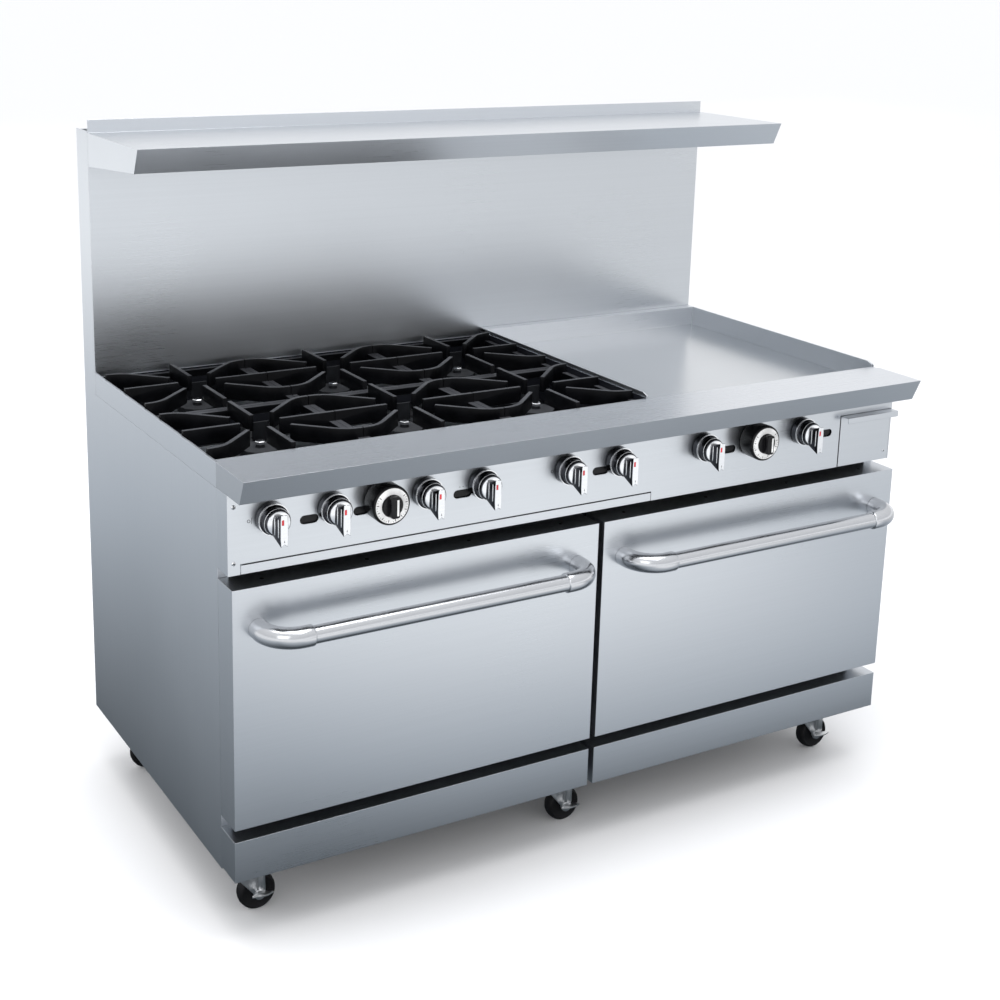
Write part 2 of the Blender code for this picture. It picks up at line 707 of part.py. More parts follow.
def finger(outline):
    """An upright bar of even width that follows a line seen from above."""
    half = FINGER / 2
    points = [Vector(point) for point in outline]
    left, right = [], []
    for i, point in enumerate(points):
        before = points[max(i - 1, 0)]
        after = points[min(i + 1, len(points) - 1)]
        along = (after - before).normalized()
        across = Vector((-along.y, along.x)) * half
        left.append(tuple(point + across))
        right.append(tuple(point - across))
    return prism(left + right[::-1], 2, GRATE_LOW_Z + 0.001, GRATE_TOP_Z)


def grate_mesh():
    """One cast grate about its own middle: a low frame and eight fingers that stop short of the centre."""
    half_x, half_y = GRATE_WIDTH / 2, GRATE_DEPTH / 2
    bar = GRATE_BAR
    frame = block_body(
        [((-half_x, -half_y, GRATE_LOW_Z), (half_x, half_y, GRATE_FRAME_Z))],
        [((-half_x + bar, -half_y + bar, GRATE_LOW_Z - OVERCUT),
          (half_x - bar, half_y - bar, GRATE_FRAME_Z + OVERCUT))],
    )
    edge_x, edge_y = half_x - 0.0006, half_y - 0.010
    reach, near, row, bend = 0.040, 0.044, 0.119, 0.060
    fingers = []
    for side in (-1, 1):
        fingers.append(finger([(side * edge_x, 0.0), (side * reach, 0.0)]))
        fingers.append(finger([(0.0, side * edge_y), (0.0, side * reach)]))
    turn = math.radians(45)
    tangent = bend * math.tan(turn / 2)
    for side_x in (-1, 1):
        for side_y in (-1, 1):
            line = [(edge_x, row)]
            for step in range(5):
                angle = turn * step / 4
                x = row + tangent - bend * math.sin(angle)
                y = row - bend * (1 - math.cos(angle))
                line.append((x, y))
            line.append((near - 0.002, near))
            fingers.append(finger([(side_x * x, side_y * y) for x, y in line]))
    grate = boolean(frame, merged(fingers), "UNION")
    moved(grate, (0, 0, -GRATE_LOW_Z))
    return mesh_from(grate, "grate", False)


def burner_body(column):
    """Front and rear burner heads of one column with their mixing tubes, joined by a flash bar."""
    x = COLUMN_X[column]
    front_x, rear_x = BURNER_KNOB_X[2 * column], BURNER_KNOB_X[2 * column + 1]
    heads = []
    for y in ROW_Y:
        outline = [(0.030, 0.800), (0.049, 0.820), (0.049, 0.834), (0.040, 0.840),
                   (0.038, 0.853), (0.009, 0.853), (0.008, 0.859)]
        heads.append(turned(outline, (x, y, 0), 2, 12))
    tubes = []
    for tube_x, y in ((front_x, ROW_Y[0]), (rear_x, ROW_Y[1])):
        tubes.append(tube([(tube_x, BODY_FRONT_Y + 0.006, MIXER_Z), (tube_x, y, MIXER_Z)],
                          (MIXER_RADIUS, MIXER_RADIUS), 8))
    arms = [
        block_body([((front_x, ROW_Y[0] - MIXER_HALF, MIXER_Z - MIXER_HALF),
                     (rear_x, ROW_Y[0] + MIXER_HALF, MIXER_Z + 0.0105))]),
        block_body([((x - 0.010, ROW_Y[1] - 0.0105, MIXER_Z - 0.0105),
                     (rear_x, ROW_Y[1] + 0.0105, MIXER_Z + 0.010))]),
    ]
    shields = []
    for y in ROW_Y:
        shields.append(block_body([
            ((x + SHIELD_X[0], y + SHIELD_Y[0], SHIELD_Z[0]),
             (x + SHIELD_X[1], y + SHIELD_Y[1], SHIELD_Z[1])),
            ((x + SHIELD_X[0], y + SHIELD_FOOT_Y, SHIELD_Z[0]),
             (x + SHIELD_X[1], y + SHIELD_Y[1], SHIELD_FOOT_Z)),
        ]))
    body = boolean(merged(heads), merged(tubes), "UNION")
    body = boolean(body, merged(arms), "UNION")
    return boolean(body, merged(shields), "UNION")


def griddle_body():
    """Griddle plate with splash walls, and a trough along its front that drains to the drawer."""
    left, right = GRIDDLE_X
    wall = SPLASH_THICK
    plate_low = GRIDDLE_PLATE_Z - GRIDDLE_PLATE_THICK
    front, step_y = TROUGH_Y
    skirt_low = SIDE_TOP_Z + GAP
    back = BACKGUARD_Y - 0.001
    solids = [
        ((left, step_y, plate_low), (right, SPLASH_Y + wall, GRIDDLE_PLATE_Z)),
        ((left, front, TROUGH_Z), (left + wall, SPLASH_Y + wall, SPLASH_Z)),
        ((right - wall, front, TROUGH_Z), (right, SPLASH_Y + wall, SPLASH_Z)),
        ((right, BODY_FRONT_Y + 0.014, skirt_low), (HALF_WIDTH, back, SPLASH_Z)),
        ((left, SPLASH_Y, plate_low), (right, SPLASH_Y + wall, SPLASH_Z)),
        ((left, SPLASH_Y, SPLASH_Z - SHEET), (HALF_WIDTH, back, SPLASH_Z)),
        ((left, front, TROUGH_Z), (right, step_y, TROUGH_Z + wall)),
        ((left, front, TROUGH_Z), (right, front + wall, LEDGE_Z - 0.003)),
        ((left, step_y - wall, TROUGH_Z), (right, step_y, GRIDDLE_PLATE_Z)),
        ((CHUTE_X[0], CHUTE_Y[0], CHUTE_LOW_Z), (CHUTE_X[1], CHUTE_Y[1], TROUGH_Z + wall)),
    ]
    voids = [((CHUTE_X[0] + wall, CHUTE_Y[0] + wall, CHUTE_LOW_Z - OVERCUT),
              (CHUTE_X[1] - wall, CHUTE_Y[1] - wall, TROUGH_Z + OVERCUT))]
    body = block_body(solids, voids)
    low_y, high_y = SPLASH_SLOPE_Y
    before = front - 0.030
    slope = [(before, LEDGE_Z), (low_y, LEDGE_Z), (high_y, SPLASH_Z), (high_y, SPLASH_Z + OVERCUT),
             (before, SPLASH_Z + OVERCUT)]
    return boolean(body, prism(slope, 0, left - OVERCUT, HALF_WIDTH + OVERCUT), "DIFFERENCE")


def manifold_body():
    """Gas pipe behind the panel with its valves, the rear inlet and the griddle's bar burners."""
    pipe_y = MANIFOLD_Y
    corner_x = INLET_X - INLET_BEND
    run = [(MANIFOLD_X, pipe_y, KNOB_Z), (corner_x, pipe_y, KNOB_Z)]
    for step in range(1, 5):
        angle = math.radians(90 * step / 4)
        run.append((corner_x + INLET_BEND * math.sin(angle),
                    pipe_y + INLET_BEND * (1 - math.cos(angle)), KNOB_Z))
    run.append((INLET_X, REAR_Y - 0.001, KNOB_Z))
    radii = [MANIFOLD_RADIUS] * 2 + [INLET_RADIUS] * 5
    pipe = tube(run, radii, 12)
    valves, shafts = [], []
    valve_front, valve_back = PANEL_Y + 0.006, pipe_y + 0.004
    for x in (*BURNER_KNOB_X, *GRIDDLE_KNOB_X, *THERMOSTAT_X):
        valves.append(turned([(VALVE_RADIUS, valve_front), (VALVE_RADIUS, valve_back)],
                             (x, 0, KNOB_Z + 0.001), 1, 8))
        shafts.append(turned([(SHAFT_RADIUS, PANEL_Y - SHAFT_REACH), (SHAFT_RADIUS, valve_front + 0.004)],
                             (x, 0, KNOB_Z), 1, 8))
    bars = []
    for x in GRIDDLE_KNOB_X:
        bars.append(tube([(x, pipe_y + 0.002, KNOB_Z - 0.002), (x, GRIDDLE_BURNER_BACK_Y, KNOB_Z - 0.002)],
                         (GRIDDLE_BURNER_RADIUS, GRIDDLE_BURNER_RADIUS), 8))
    body = boolean(pipe, merged(valves), "UNION")
    body = boolean(body, merged(shafts), "UNION")
    return boolean(body, merged(bars), "UNION")


def build_top():
    build_burner_box()
    grate = grate_mesh()
    for row, row_word in enumerate(("front", "rear")):
        for column, column_word in enumerate(("left", "middle", "right")):
            name = "grate_" + row_word + "_" + column_word
            place(name, grate, IRON, (COLUMN_X[column], ROW_Y[row], GRATE_LOW_Z))
    for column, word in enumerate(("left", "middle", "right")):
        add("top_burners_" + word, burner_body(column), IRON)
    add("griddle", griddle_body(), GRIDDLE_STEEL)
    add("gas_manifold", manifold_body(), GALVANISED)


# ---------------------------------------------------------------- knobs, tray and drawer
def knob_mesh():
    """A valve knob: bored skirt and cap with a pointed grip whose tail hangs past the skirt."""
    bore, skirt, cap = KNOB_BORE_RADIUS, KNOB_SKIRT_DEPTH, KNOB_CAP_DEPTH
    outline = [(bore, -KNOB_BORE_DEPTH), (bore, 0.0), (0.0270, 0.0), (0.0285, -0.004), (0.0275, -skirt),
               (0.0235, -skirt - 0.002), (0.0225, 0.002 - cap), (0.0205, -cap)]
    body = turned(outline, (0, 0, 0), 1, 16)
    blade = [(-0.0075, 0.021), (0.0075, 0.021), (0.0085, -0.021), (0.000, -0.038), (-0.0085, -0.021)]
    grip = prism(blade, 1, -KNOB_DEPTH, GRIP_ROOT - cap)
    return mesh_from(boolean(body, grip, "UNION"), "knob", True)


def dial_mesh():
    """A thermostat dial: wide bored drum with a bar grip across its face."""
    bore, drum = KNOB_BORE_RADIUS, DIAL_DRUM_DEPTH
    outline = [(bore, -KNOB_BORE_DEPTH), (bore, 0.0), (0.0330, 0.0), (0.0360, -0.006),
               (0.0368, 0.003 - drum), (0.0355, -drum)]
    body = turned(outline, (0, 0, 0), 1, 24)
    blade = [(-0.009, 0.018), (-0.005, 0.022), (0.005, 0.022), (0.009, 0.018),
             (0.009, -0.018), (0.005, -0.022), (-0.005, -0.022), (-0.009, -0.018)]
    grip = prism(blade, 1, -DIAL_DEPTH, GRIP_ROOT - drum)
    return mesh_from(boolean(body, grip, "UNION"), "dial", True)


def build_controls():
    back = PANEL_Y - KNOB_STAND_OFF
    knob = knob_mesh()
    names = ["knob_" + column + "_" + row
             for column in ("left", "middle", "right") for row in ("front", "rear")]
    for name, x in zip(names, BURNER_KNOB_X):
        place(name, knob, CHROME, (x, back, KNOB_Z))
    for name, x in zip(("knob_griddle_left", "knob_griddle_right"), GRIDDLE_KNOB_X):
        place(name, knob, CHROME, (x, back, KNOB_Z))
    dial = dial_mesh()
    for name, x in zip(("thermostat_left", "thermostat_right"), THERMOSTAT_X):
        place(name, dial, BLACK_PLASTIC, (x, back, KNOB_Z))

    wall = PAN_WALL
    low = PANEL_LOW_Z + PAN_CLEARANCE
    left, right = TRAY_X[0] + 0.001, TRAY_X[1] - 0.001
    top = TRAY_TOP_Z - 0.0025
    tray = block_body(
        [
            ((left, PANEL_Y, low), (right, PANEL_Y + wall, top)),
            ((left + 0.004, PANEL_Y, low), (right - 0.004, TRAY_BACK_Y, top)),
        ],
        [((left + 0.004 + wall, PANEL_Y + wall, low + wall),
          (right - 0.004 - wall, TRAY_BACK_Y - wall, 1.0))],
    )
    add("drip_tray", tray, STEEL, ((left + right) / 2, PANEL_Y, low))

    left, right = DRAWER_X[0] + 0.003, DRAWER_X[1] - 0.0006
    top = DRAWER_TOP_Z - 0.0006
    box_left, box_right, box_low = left + 0.006, right - 0.006, low + 0.004
    lip_y = PANEL_Y - DRAWER_LIP_REACH
    drawer = block_body(
        [
            ((left, PANEL_Y, low), (right, PANEL_Y + wall, top)),
            ((box_left, PANEL_Y, box_low), (box_right, DRAWER_BACK_Y, DRAWER_BOX_TOP_Z)),
            ((left, lip_y, top - wall), (right, PANEL_Y + wall, top)),
            ((left, lip_y, top - DRAWER_LIP_DROP), (right, lip_y + wall, top)),
        ],
        [((box_left + wall, PANEL_Y + wall, box_low + wall), (box_right - wall, DRAWER_BACK_Y - wall, 1.0))],
    )
    add("grease_drawer", drawer, STEEL, ((left + right) / 2, PANEL_Y, low))


# ---------------------------------------------------------------- casters
def fork_mesh(brake_post):
    """A swivel fork about its swivel axis: turning head, crown, two legs and the axle, trailing to +X."""
    inner, out = FORK_LEG_Y
    low, high = FORK_CROWN_Z
    boss = FORK_BOSS_RADIUS
    trail = CASTER_TRAIL
    hub = AXLE_Z
    left, right = FORK_CROWN_X
    skirt = low - FORK_CROWN_SKIRT
    outline = [(left, high), (left, skirt), (trail - boss, hub + 0.002)]
    for step in range(7):
        angle = math.radians(180 + 30 * step)
        outline.append((trail + boss * math.cos(angle), hub + boss * math.sin(angle)))
    outline += [(trail + boss, hub + 0.002), (right, skirt), (right, high)]
    legs = prism(outline, 1, -out, out)
    space = block_body([((-0.1, -inner, 0.0), (0.1, inner, low))])
    body = boolean(legs, space, "DIFFERENCE")
    neck, middle, rim = SWIVEL_RADII
    profile = [(neck, high - 0.002), (middle, high + 0.008), (rim, SWIVEL_TOP_Z)]
    head = turned(profile, (0, 0, 0), 2, 12)
    body = boolean(body, head, "UNION")
    axle = turned([(AXLE_RADIUS, -AXLE_HALF_LENGTH), (AXLE_RADIUS, AXLE_HALF_LENGTH)], (0, 0, 0), 1, 8)
    body = boolean(body, moved(axle, (trail, 0, hub)), "UNION")
    if brake_post:
        foot = hub + PEDAL_DISC_RADIUS + 0.002
        profile = [(BRAKE_POST_RADIUS, foot), (BRAKE_POST_RADIUS, high - 0.003)]
        post = turned(profile, (trail, BRAKE_POST_Y, 0), 2, 12)
        body = boolean(body, post, "UNION")
    return mesh_from(body, "fork", True)


def wheel_mesh():
    """A caster wheel about its axle, which lies along Y: rounded tread, recessed web and bore."""
    half, radius = WHEEL_HALF_WIDTH, WHEEL_RADIUS
    bore = AXLE_RADIUS + BORE_CLEARANCE
    outline = [(bore, half), (0.011, half), (0.013, half - 0.004), (0.026, half - 0.004),
               (radius - 0.006, half - 0.001), (radius, half - 0.006)]
    full = outline + [(r, -d) for r, d in reversed(outline)]
    wheel = turned(full, (0, 0, 0), 1, WHEEL_SIDES, True)
    bmesh.ops.rotate(wheel, verts=wheel.verts[:], matrix=Matrix.Rotation(-math.pi / WHEEL_SIDES, 3, "Y"))
    return mesh_from(wheel, "wheel", True)


def pedal_mesh():
    """A brake pedal about the axle: a disc in front of the fork that carries a winged plate."""
    near, far = PEDAL_DISC_Y
    bore = AXLE_RADIUS + BORE_CLEARANCE
    rim = [(bore, near), (PEDAL_DISC_RADIUS, near), (PEDAL_DISC_RADIUS, far), (bore, far)]
    disc = turned(rim, (0, 0, 0), 1, 16, True)
    tip = PEDAL_REACH_Y
    right_half = [(0.0080, far), (0.0075, near - 0.004), (0.0200, near - 0.010),
                  (0.0215, tip + 0.005), (0.0080, tip)]
    outline = right_half + [(-x, y) for x, y in reversed(right_half)]
    plate = prism(outline, 2, *PEDAL_PLATE_Z)
    return mesh_from(boolean(disc, plate, "UNION"), "pedal", False)


def build_casters():
    braked, plain = fork_mesh(True), fork_mesh(False)
    wheel, pedal = wheel_mesh(), pedal_mesh()
    for row, y in zip(("front", "rear"), CASTER_Y):
        for column, x in zip(("left", "middle", "right"), CASTER_X):
            tag = row + "_" + column
            place("caster_fork_" + tag, braked if row == "front" else plain, GALVANISED, (x, y, 0.0))
            place("caster_wheel_" + tag, wheel, RUBBER, (x + CASTER_TRAIL, y, AXLE_Z))
            if row == "front":
                place("brake_pedal_" + column, pedal, GALVANISED, (x + CASTER_TRAIL, y, AXLE_Z))


for leftover in list(bpy.data.objects):
    bpy.data.objects.remove(leftover)
build_cabinet()
build_front()
build_shelf()
build_doors()
build_ovens()
build_top()
build_controls()
build_casters()
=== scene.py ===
"""Looks for a 60-inch restaurant gas range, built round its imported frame.

Metres, +Z up, the floor at z = 0, the doors facing -Y.
"""

import json
import math

import bmesh
import bpy
from mathutils import Matrix, Vector


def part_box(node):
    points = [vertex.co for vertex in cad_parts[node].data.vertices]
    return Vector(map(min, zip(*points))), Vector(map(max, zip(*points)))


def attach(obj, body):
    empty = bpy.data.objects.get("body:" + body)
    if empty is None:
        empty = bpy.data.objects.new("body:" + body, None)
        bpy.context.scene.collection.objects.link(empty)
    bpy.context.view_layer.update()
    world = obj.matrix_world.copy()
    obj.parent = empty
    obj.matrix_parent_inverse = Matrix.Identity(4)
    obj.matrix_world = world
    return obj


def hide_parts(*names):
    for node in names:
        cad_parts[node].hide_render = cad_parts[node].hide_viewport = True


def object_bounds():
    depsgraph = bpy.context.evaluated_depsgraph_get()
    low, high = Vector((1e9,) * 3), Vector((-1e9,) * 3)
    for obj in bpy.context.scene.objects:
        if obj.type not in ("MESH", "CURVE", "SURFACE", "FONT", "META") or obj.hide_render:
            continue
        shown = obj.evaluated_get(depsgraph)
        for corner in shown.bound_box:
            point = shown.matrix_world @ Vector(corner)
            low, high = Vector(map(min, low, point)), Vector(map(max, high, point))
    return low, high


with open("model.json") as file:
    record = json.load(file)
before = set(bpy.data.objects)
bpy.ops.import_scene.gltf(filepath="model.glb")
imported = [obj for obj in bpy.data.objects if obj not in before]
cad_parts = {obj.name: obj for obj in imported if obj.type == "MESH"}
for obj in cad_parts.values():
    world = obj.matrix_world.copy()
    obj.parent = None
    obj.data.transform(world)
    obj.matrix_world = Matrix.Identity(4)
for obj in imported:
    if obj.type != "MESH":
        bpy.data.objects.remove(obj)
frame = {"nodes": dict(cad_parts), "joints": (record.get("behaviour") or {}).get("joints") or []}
cad_box = [list(corner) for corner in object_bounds()]
nodes = frame["nodes"]
pivots = {joint["child"]: Vector(joint["pos_m"]) for joint in frame["joints"] if "pos_m" in joint}

COLUMNS = ("left", "middle", "right")
ROWS = ("front", "rear")
SIDES = ("left", "right")

# ---------------------------------------------------------------- camera and studio
CAMERA_PLACE = Vector((-1.710, -2.720, 1.730))
CAMERA_AZIMUTH = -30.0
CAMERA_ELEVATION = 13.7
CAMERA_ROLL = 1.21
FOCAL_WIDTHS = 1.593
SHIFT = (0.050, -0.150)
SENSOR_MM = 36.0
FLOOR_HALF = 300.0
SKY_STRENGTH = 1.40
SKY_TINT = (0.97, 0.98, 1.0)
SKY_LEVELS = ((0.0, 1.0), (0.12, 1.0), (0.20, 0.66), (0.45, 0.72), (1.0, 0.84))

# A glowing card seen only in reflections: a painted reflection of the floor, darkened as painted shade close
# to the range's outline and brighter by distance from it.
CARD_HALF = 14.0
CARD_LIFT = 0.0006
CARD_RAYS_HIDDEN = ("camera", "diffuse", "transmission", "volume_scatter", "shadow")
GLOW_BY_DISTANCE = ((0.0, (0.058, 0.070, 0.081)), (0.28, (0.520, 0.570, 0.625)),
                    (0.62, (0.820, 0.850, 0.890)), (1.0, (1.260, 1.280, 1.295)))
GLOW_FULL_DISTANCE = 3.0
# Painted light: the reflection is brightest in front near BRIGHTEST_X and dimmer far to the right.
BRIGHTEST_X = 0.65
FADE_FROM_BRIGHTEST = -0.42
LEAST_SHARE = 0.45
FRONT_RATE = 3.0
REAR_RATE = 0.5
FAR_RIGHT_FADE = (("From Min", 2.2), ("From Max", 3.8), ("To Min", 1.0), ("To Max", 0.68))


def make_camera():
    """A camera looking at the front left corner from a little above the shelf."""
    azimuth = math.radians(CAMERA_AZIMUTH)
    elevation = math.radians(CAMERA_ELEVATION)
    roll = math.radians(CAMERA_ROLL)
    ahead = Vector((-math.sin(azimuth) * math.cos(elevation),
                    math.cos(azimuth) * math.cos(elevation), -math.sin(elevation)))
    level = ahead.cross(Vector((0, 0, 1))).normalized()
    above = level.cross(ahead)
    right = level * math.cos(roll) + above * math.sin(roll)
    up = above * math.cos(roll) - level * math.sin(roll)
    data = bpy.data.cameras.new("camera")
    data.sensor_width = SENSOR_MM
    data.lens = SENSOR_MM * FOCAL_WIDTHS
    data.shift_x, data.shift_y = SHIFT
    camera = bpy.data.objects.new("camera", data)
    turn = Matrix((right, up, -ahead)).transposed().to_4x4()
    camera.matrix_world = Matrix.Translation(CAMERA_PLACE) @ turn
    bpy.context.scene.collection.objects.link(camera)
    bpy.context.scene.camera = camera


def area_light(name, place, target, size, watts):
    """A soft rectangular light aimed at a point."""
    data = bpy.data.lights.new(name, "AREA")
    data.shape = "RECTANGLE"
    data.size, data.size_y = size
    data.energy = watts
    light = bpy.data.objects.new(name, data)
    light.location = place
    light.rotation_euler = (Vector(target) - Vector(place)).to_track_quat("-Z", "Y").to_euler()
    bpy.context.scene.collection.objects.link(light)


def level_square(name, half, height):
    """A square lying flat, centred on the origin."""
    mesh = bpy.data.meshes.new(name)
    corners = [(-half, -half), (half, -half), (half, half), (-half, half)]
    mesh.from_pydata([(x, y, height) for x, y in corners], [], [(0, 1, 2, 3)])
    square = bpy.data.objects.new(name, mesh)
    bpy.context.scene.collection.objects.link(square)
    return square


def set_stops(ramp, stops):
    """Colours along a ramp, in rising order."""
    elements = ramp.color_ramp.elements
    for index, (place, tint) in enumerate(stops):
        element = elements[index] if index < 2 else elements.new(place)
        element.position = place
        element.color = (*tint, 1)


def make_painted_reflection_card():
    """A painted reflection of the floor for polished metal: a glowing card, painted shade close to the range
    and brighter further off.
    """
    low, high = (Vector(corner) for corner in cad_box)
    card = level_square("painted_reflection_of_floor", CARD_HALF, CARD_LIFT)
    for ray in CARD_RAYS_HIDDEN:
        setattr(card, "visible_" + ray, False)
    material = bpy.data.materials.new("painted_reflection_of_floor")
    material.use_nodes = True
    tree = material.node_tree
    tree.nodes.clear()
    where = tree.nodes.new("ShaderNodeTexCoord")
    axes = tree.nodes.new("ShaderNodeSeparateXYZ")
    tree.links.new(where.outputs["Object"], axes.inputs[0])

    def calculate(operation, first, *others):
        step = tree.nodes.new("ShaderNodeMath")
        step.operation = operation
        tree.links.new(first, step.inputs[0])
        for slot, value in enumerate(others, 1):
            if isinstance(value, float):
                step.inputs[slot].default_value = value
            else:
                tree.links.new(value, step.inputs[slot])
        return step.outputs["Value"]

    across, along = axes.outputs["X"], axes.outputs["Y"]
    off_brightest = calculate("SUBTRACT", across, BRIGHTEST_X)
    squared = calculate("MULTIPLY", off_brightest, off_brightest)
    share = calculate("MULTIPLY_ADD", squared, FADE_FROM_BRIGHTEST, 1.0)
    share = calculate("MAXIMUM", share, LEAST_SHARE)
    ahead = calculate("MULTIPLY_ADD", along, -FRONT_RATE, low.y * FRONT_RATE)
    ahead = calculate("MULTIPLY", ahead, share)
    furthest = calculate("MAXIMUM", ahead, calculate("MULTIPLY_ADD", across, -1.0, low.x))
    furthest = calculate("MAXIMUM", furthest, calculate("SUBTRACT", across, high.x))
    behind = calculate("MULTIPLY_ADD", along, REAR_RATE, -high.y * REAR_RATE)
    furthest = calculate("MAXIMUM", furthest, behind)
    near_far = tree.nodes.new("ShaderNodeMapRange")
    near_far.inputs["From Max"].default_value = GLOW_FULL_DISTANCE
    tree.links.new(furthest, near_far.inputs["Value"])
    ramp = tree.nodes.new("ShaderNodeValToRGB")
    tree.links.new(near_far.outputs["Result"], ramp.inputs["Fac"])
    set_stops(ramp, GLOW_BY_DISTANCE)
    glow = tree.nodes.new("ShaderNodeEmission")
    tree.links.new(ramp.outputs["Color"], glow.inputs["Color"])
    far_right = tree.nodes.new("ShaderNodeMapRange")
    for name, number in FAR_RIGHT_FADE:
        far_right.inputs[name].default_value = number
    tree.links.new(across, far_right.inputs["Value"])
    tree.links.new(far_right.outputs["Result"], glow.inputs["Strength"])
    out = tree.nodes.new("ShaderNodeOutputMaterial")
    tree.links.new(glow.outputs["Emission"], out.inputs["Surface"])
    card.data.materials.append(material)


def make_studio():
    """An even sky with a darker band above the horizon, two soft lights and a pale floor."""
    world = bpy.data.worlds.new("studio")
    bpy.context.scene.world = world
    world.use_nodes = True
    tree = world.node_tree
    background = tree.nodes["Background"]
    direction = tree.nodes.new("ShaderNodeTexCoord")
    parts = tree.nodes.new("ShaderNodeSeparateXYZ")
    ramp = tree.nodes.new("ShaderNodeValToRGB")
    tree.links.new(direction.outputs["Generated"], parts.inputs[0])
    tree.links.new(parts.outputs["Z"], ramp.inputs["Fac"])
    tree.links.new(ramp.outputs["Color"], background.inputs["Color"])
    set_stops(ramp, [(height, tuple(level * tint for tint in SKY_TINT)) for height, level in SKY_LEVELS])
    background.inputs["Strength"].default_value = SKY_STRENGTH

    area_light("overhead", (-0.4, -0.4, 4.2), (0, 0, 0.8), (3.6, 2.6), 105)
    area_light("front_left", (-3.6, -3.4, 3.0), (0, 0, 0.7), (2.4, 2.4), 26)

    floor = level_square("floor", FLOOR_HALF, 0)
    paper = bpy.data.materials.new("pale_floor")
    paper.use_nodes = True
    shader = paper.node_tree.nodes["Principled BSDF"]
    shader.inputs["Base Color"].default_value = (0.93, 0.93, 0.935, 1)
    shader.inputs["Roughness"].default_value = 0.85
    shader.inputs["Specular IOR Level"].default_value = 0.1
    floor.data.materials.append(paper)
    # A glowing card that paints the floor's reflection on the metal, with painted shade near the range.
    make_painted_reflection_card()
    bpy.context.scene.view_settings.view_transform = "Standard"


# ---------------------------------------------------------------- materials
# Noise scales of brushed sheet, across the grain and along it.
SCRATCHES_ACROSS = 1400.0
SCRATCHES_ALONG = 14.0
STREAKS_ACROSS = 260.0
STREAKS_ALONG = 1.6
# How far each kind of surface rounds its edges, in metres.
SHEET_EDGE = 0.0010
CAST_EDGE = 0.0016
POLISHED_EDGE = 0.0006
SMALL_EDGE = 0.0008


def new_material(name):
    """A material with its node tree and its shader."""
    material = bpy.data.materials.new(name)
    material.use_nodes = True
    tree = material.node_tree
    return material, tree, tree.nodes["Principled BSDF"]


def noise(tree, scale, detail, stretch=(1, 1, 1)):
    """A noise value over the piece's own coordinates, stretched per axis."""
    where = tree.nodes.new("ShaderNodeTexCoord")
    mapping = tree.nodes.new("ShaderNodeMapping")
    mapping.inputs["Scale"].default_value = stretch
    texture = tree.nodes.new("ShaderNodeTexNoise")
    texture.inputs["Scale"].default_value = scale
    texture.inputs["Detail"].default_value = detail
    tree.links.new(where.outputs["Object"], mapping.inputs["Vector"])
    tree.links.new(mapping.outputs["Vector"], texture.inputs["Vector"])
    return texture.outputs["Fac"]


def spread(tree, value, low, high):
    """The value carried from its usual 0.3-0.7 range to low-high."""
    scale = tree.nodes.new("ShaderNodeMapRange")
    for name, number in (("From Min", 0.3), ("From Max", 0.7), ("To Min", low), ("To Max", high)):
        scale.inputs[name].default_value = number
    tree.links.new(value, scale.inputs["Value"])
    return scale.outputs["Result"]


def total(tree, first, second):
    """The sum of two values."""
    node = tree.nodes.new("ShaderNodeMath")
    node.operation = "ADD"
    tree.links.new(first, node.inputs[0])
    tree.links.new(second, node.inputs[1])
    return node.outputs["Value"]


def scaled(tone, factor):
    """A tone made darker or lighter."""
    return tuple(c * factor for c in tone)


def mixed(tree, value, first, second):
    """A colour between two, each either a tone or another node's colour."""
    mix = tree.nodes.new("ShaderNodeMix")
    mix.data_type = "RGBA"
    for slot, colour in (("A", first), ("B", second)):
        if isinstance(colour, tuple):
            mix.inputs[slot].default_value = (*colour, 1)
        else:
            tree.links.new(colour, mix.inputs[slot])
    tree.links.new(value, mix.inputs["Factor"])
    return mix.outputs["Result"]


def shade(tree, shader, value, dark, light):
    """The base colour between two tones."""
    tree.links.new(mixed(tree, value, dark, light), shader.inputs["Base Color"])


def relief(tree, shader, value, strength, distance, edge):
    """Bump from a value over edges rounded by the given radius."""
    rounded = tree.nodes.new("ShaderNodeBevel")
    rounded.samples = 4
    rounded.inputs["Radius"].default_value = edge
    bump = tree.nodes.new("ShaderNodeBump")
    bump.inputs["Strength"].default_value = strength
    bump.inputs["Distance"].default_value = distance
    tree.links.new(value, bump.inputs["Height"])
    tree.links.new(rounded.outputs["Normal"], bump.inputs["Normal"])
    tree.links.new(bump.outputs["Normal"], shader.inputs["Normal"])


def brushed(name, grain_axis, tone, roughness):
    """Brushed sheet: fine scratches along one axis, broader streaks, and soft smudges in the gloss."""
    material, tree, shader = new_material(name)
    fine = [SCRATCHES_ACROSS] * 3
    fine[grain_axis] = SCRATCHES_ALONG
    broad = [STREAKS_ACROSS] * 3
    broad[grain_axis] = STREAKS_ALONG
    scratches = noise(tree, 1.0, 3, fine)
    streaks = noise(tree, 1.0, 2, broad)
    smudges = noise(tree, 2.2, 2)
    shade(tree, shader, spread(tree, streaks, 0, 1), scaled(tone, 0.988), scaled(tone, 1.01))
    gloss = total(tree, spread(tree, scratches, roughness - 0.018, roughness + 0.018),
                  spread(tree, smudges, -0.02, 0.02))
    tree.links.new(gloss, shader.inputs["Roughness"])
    shader.inputs["Metallic"].default_value = 1.0
    relief(tree, shader, scratches, 0.035, 0.0001, SHEET_EDGE)
    return material


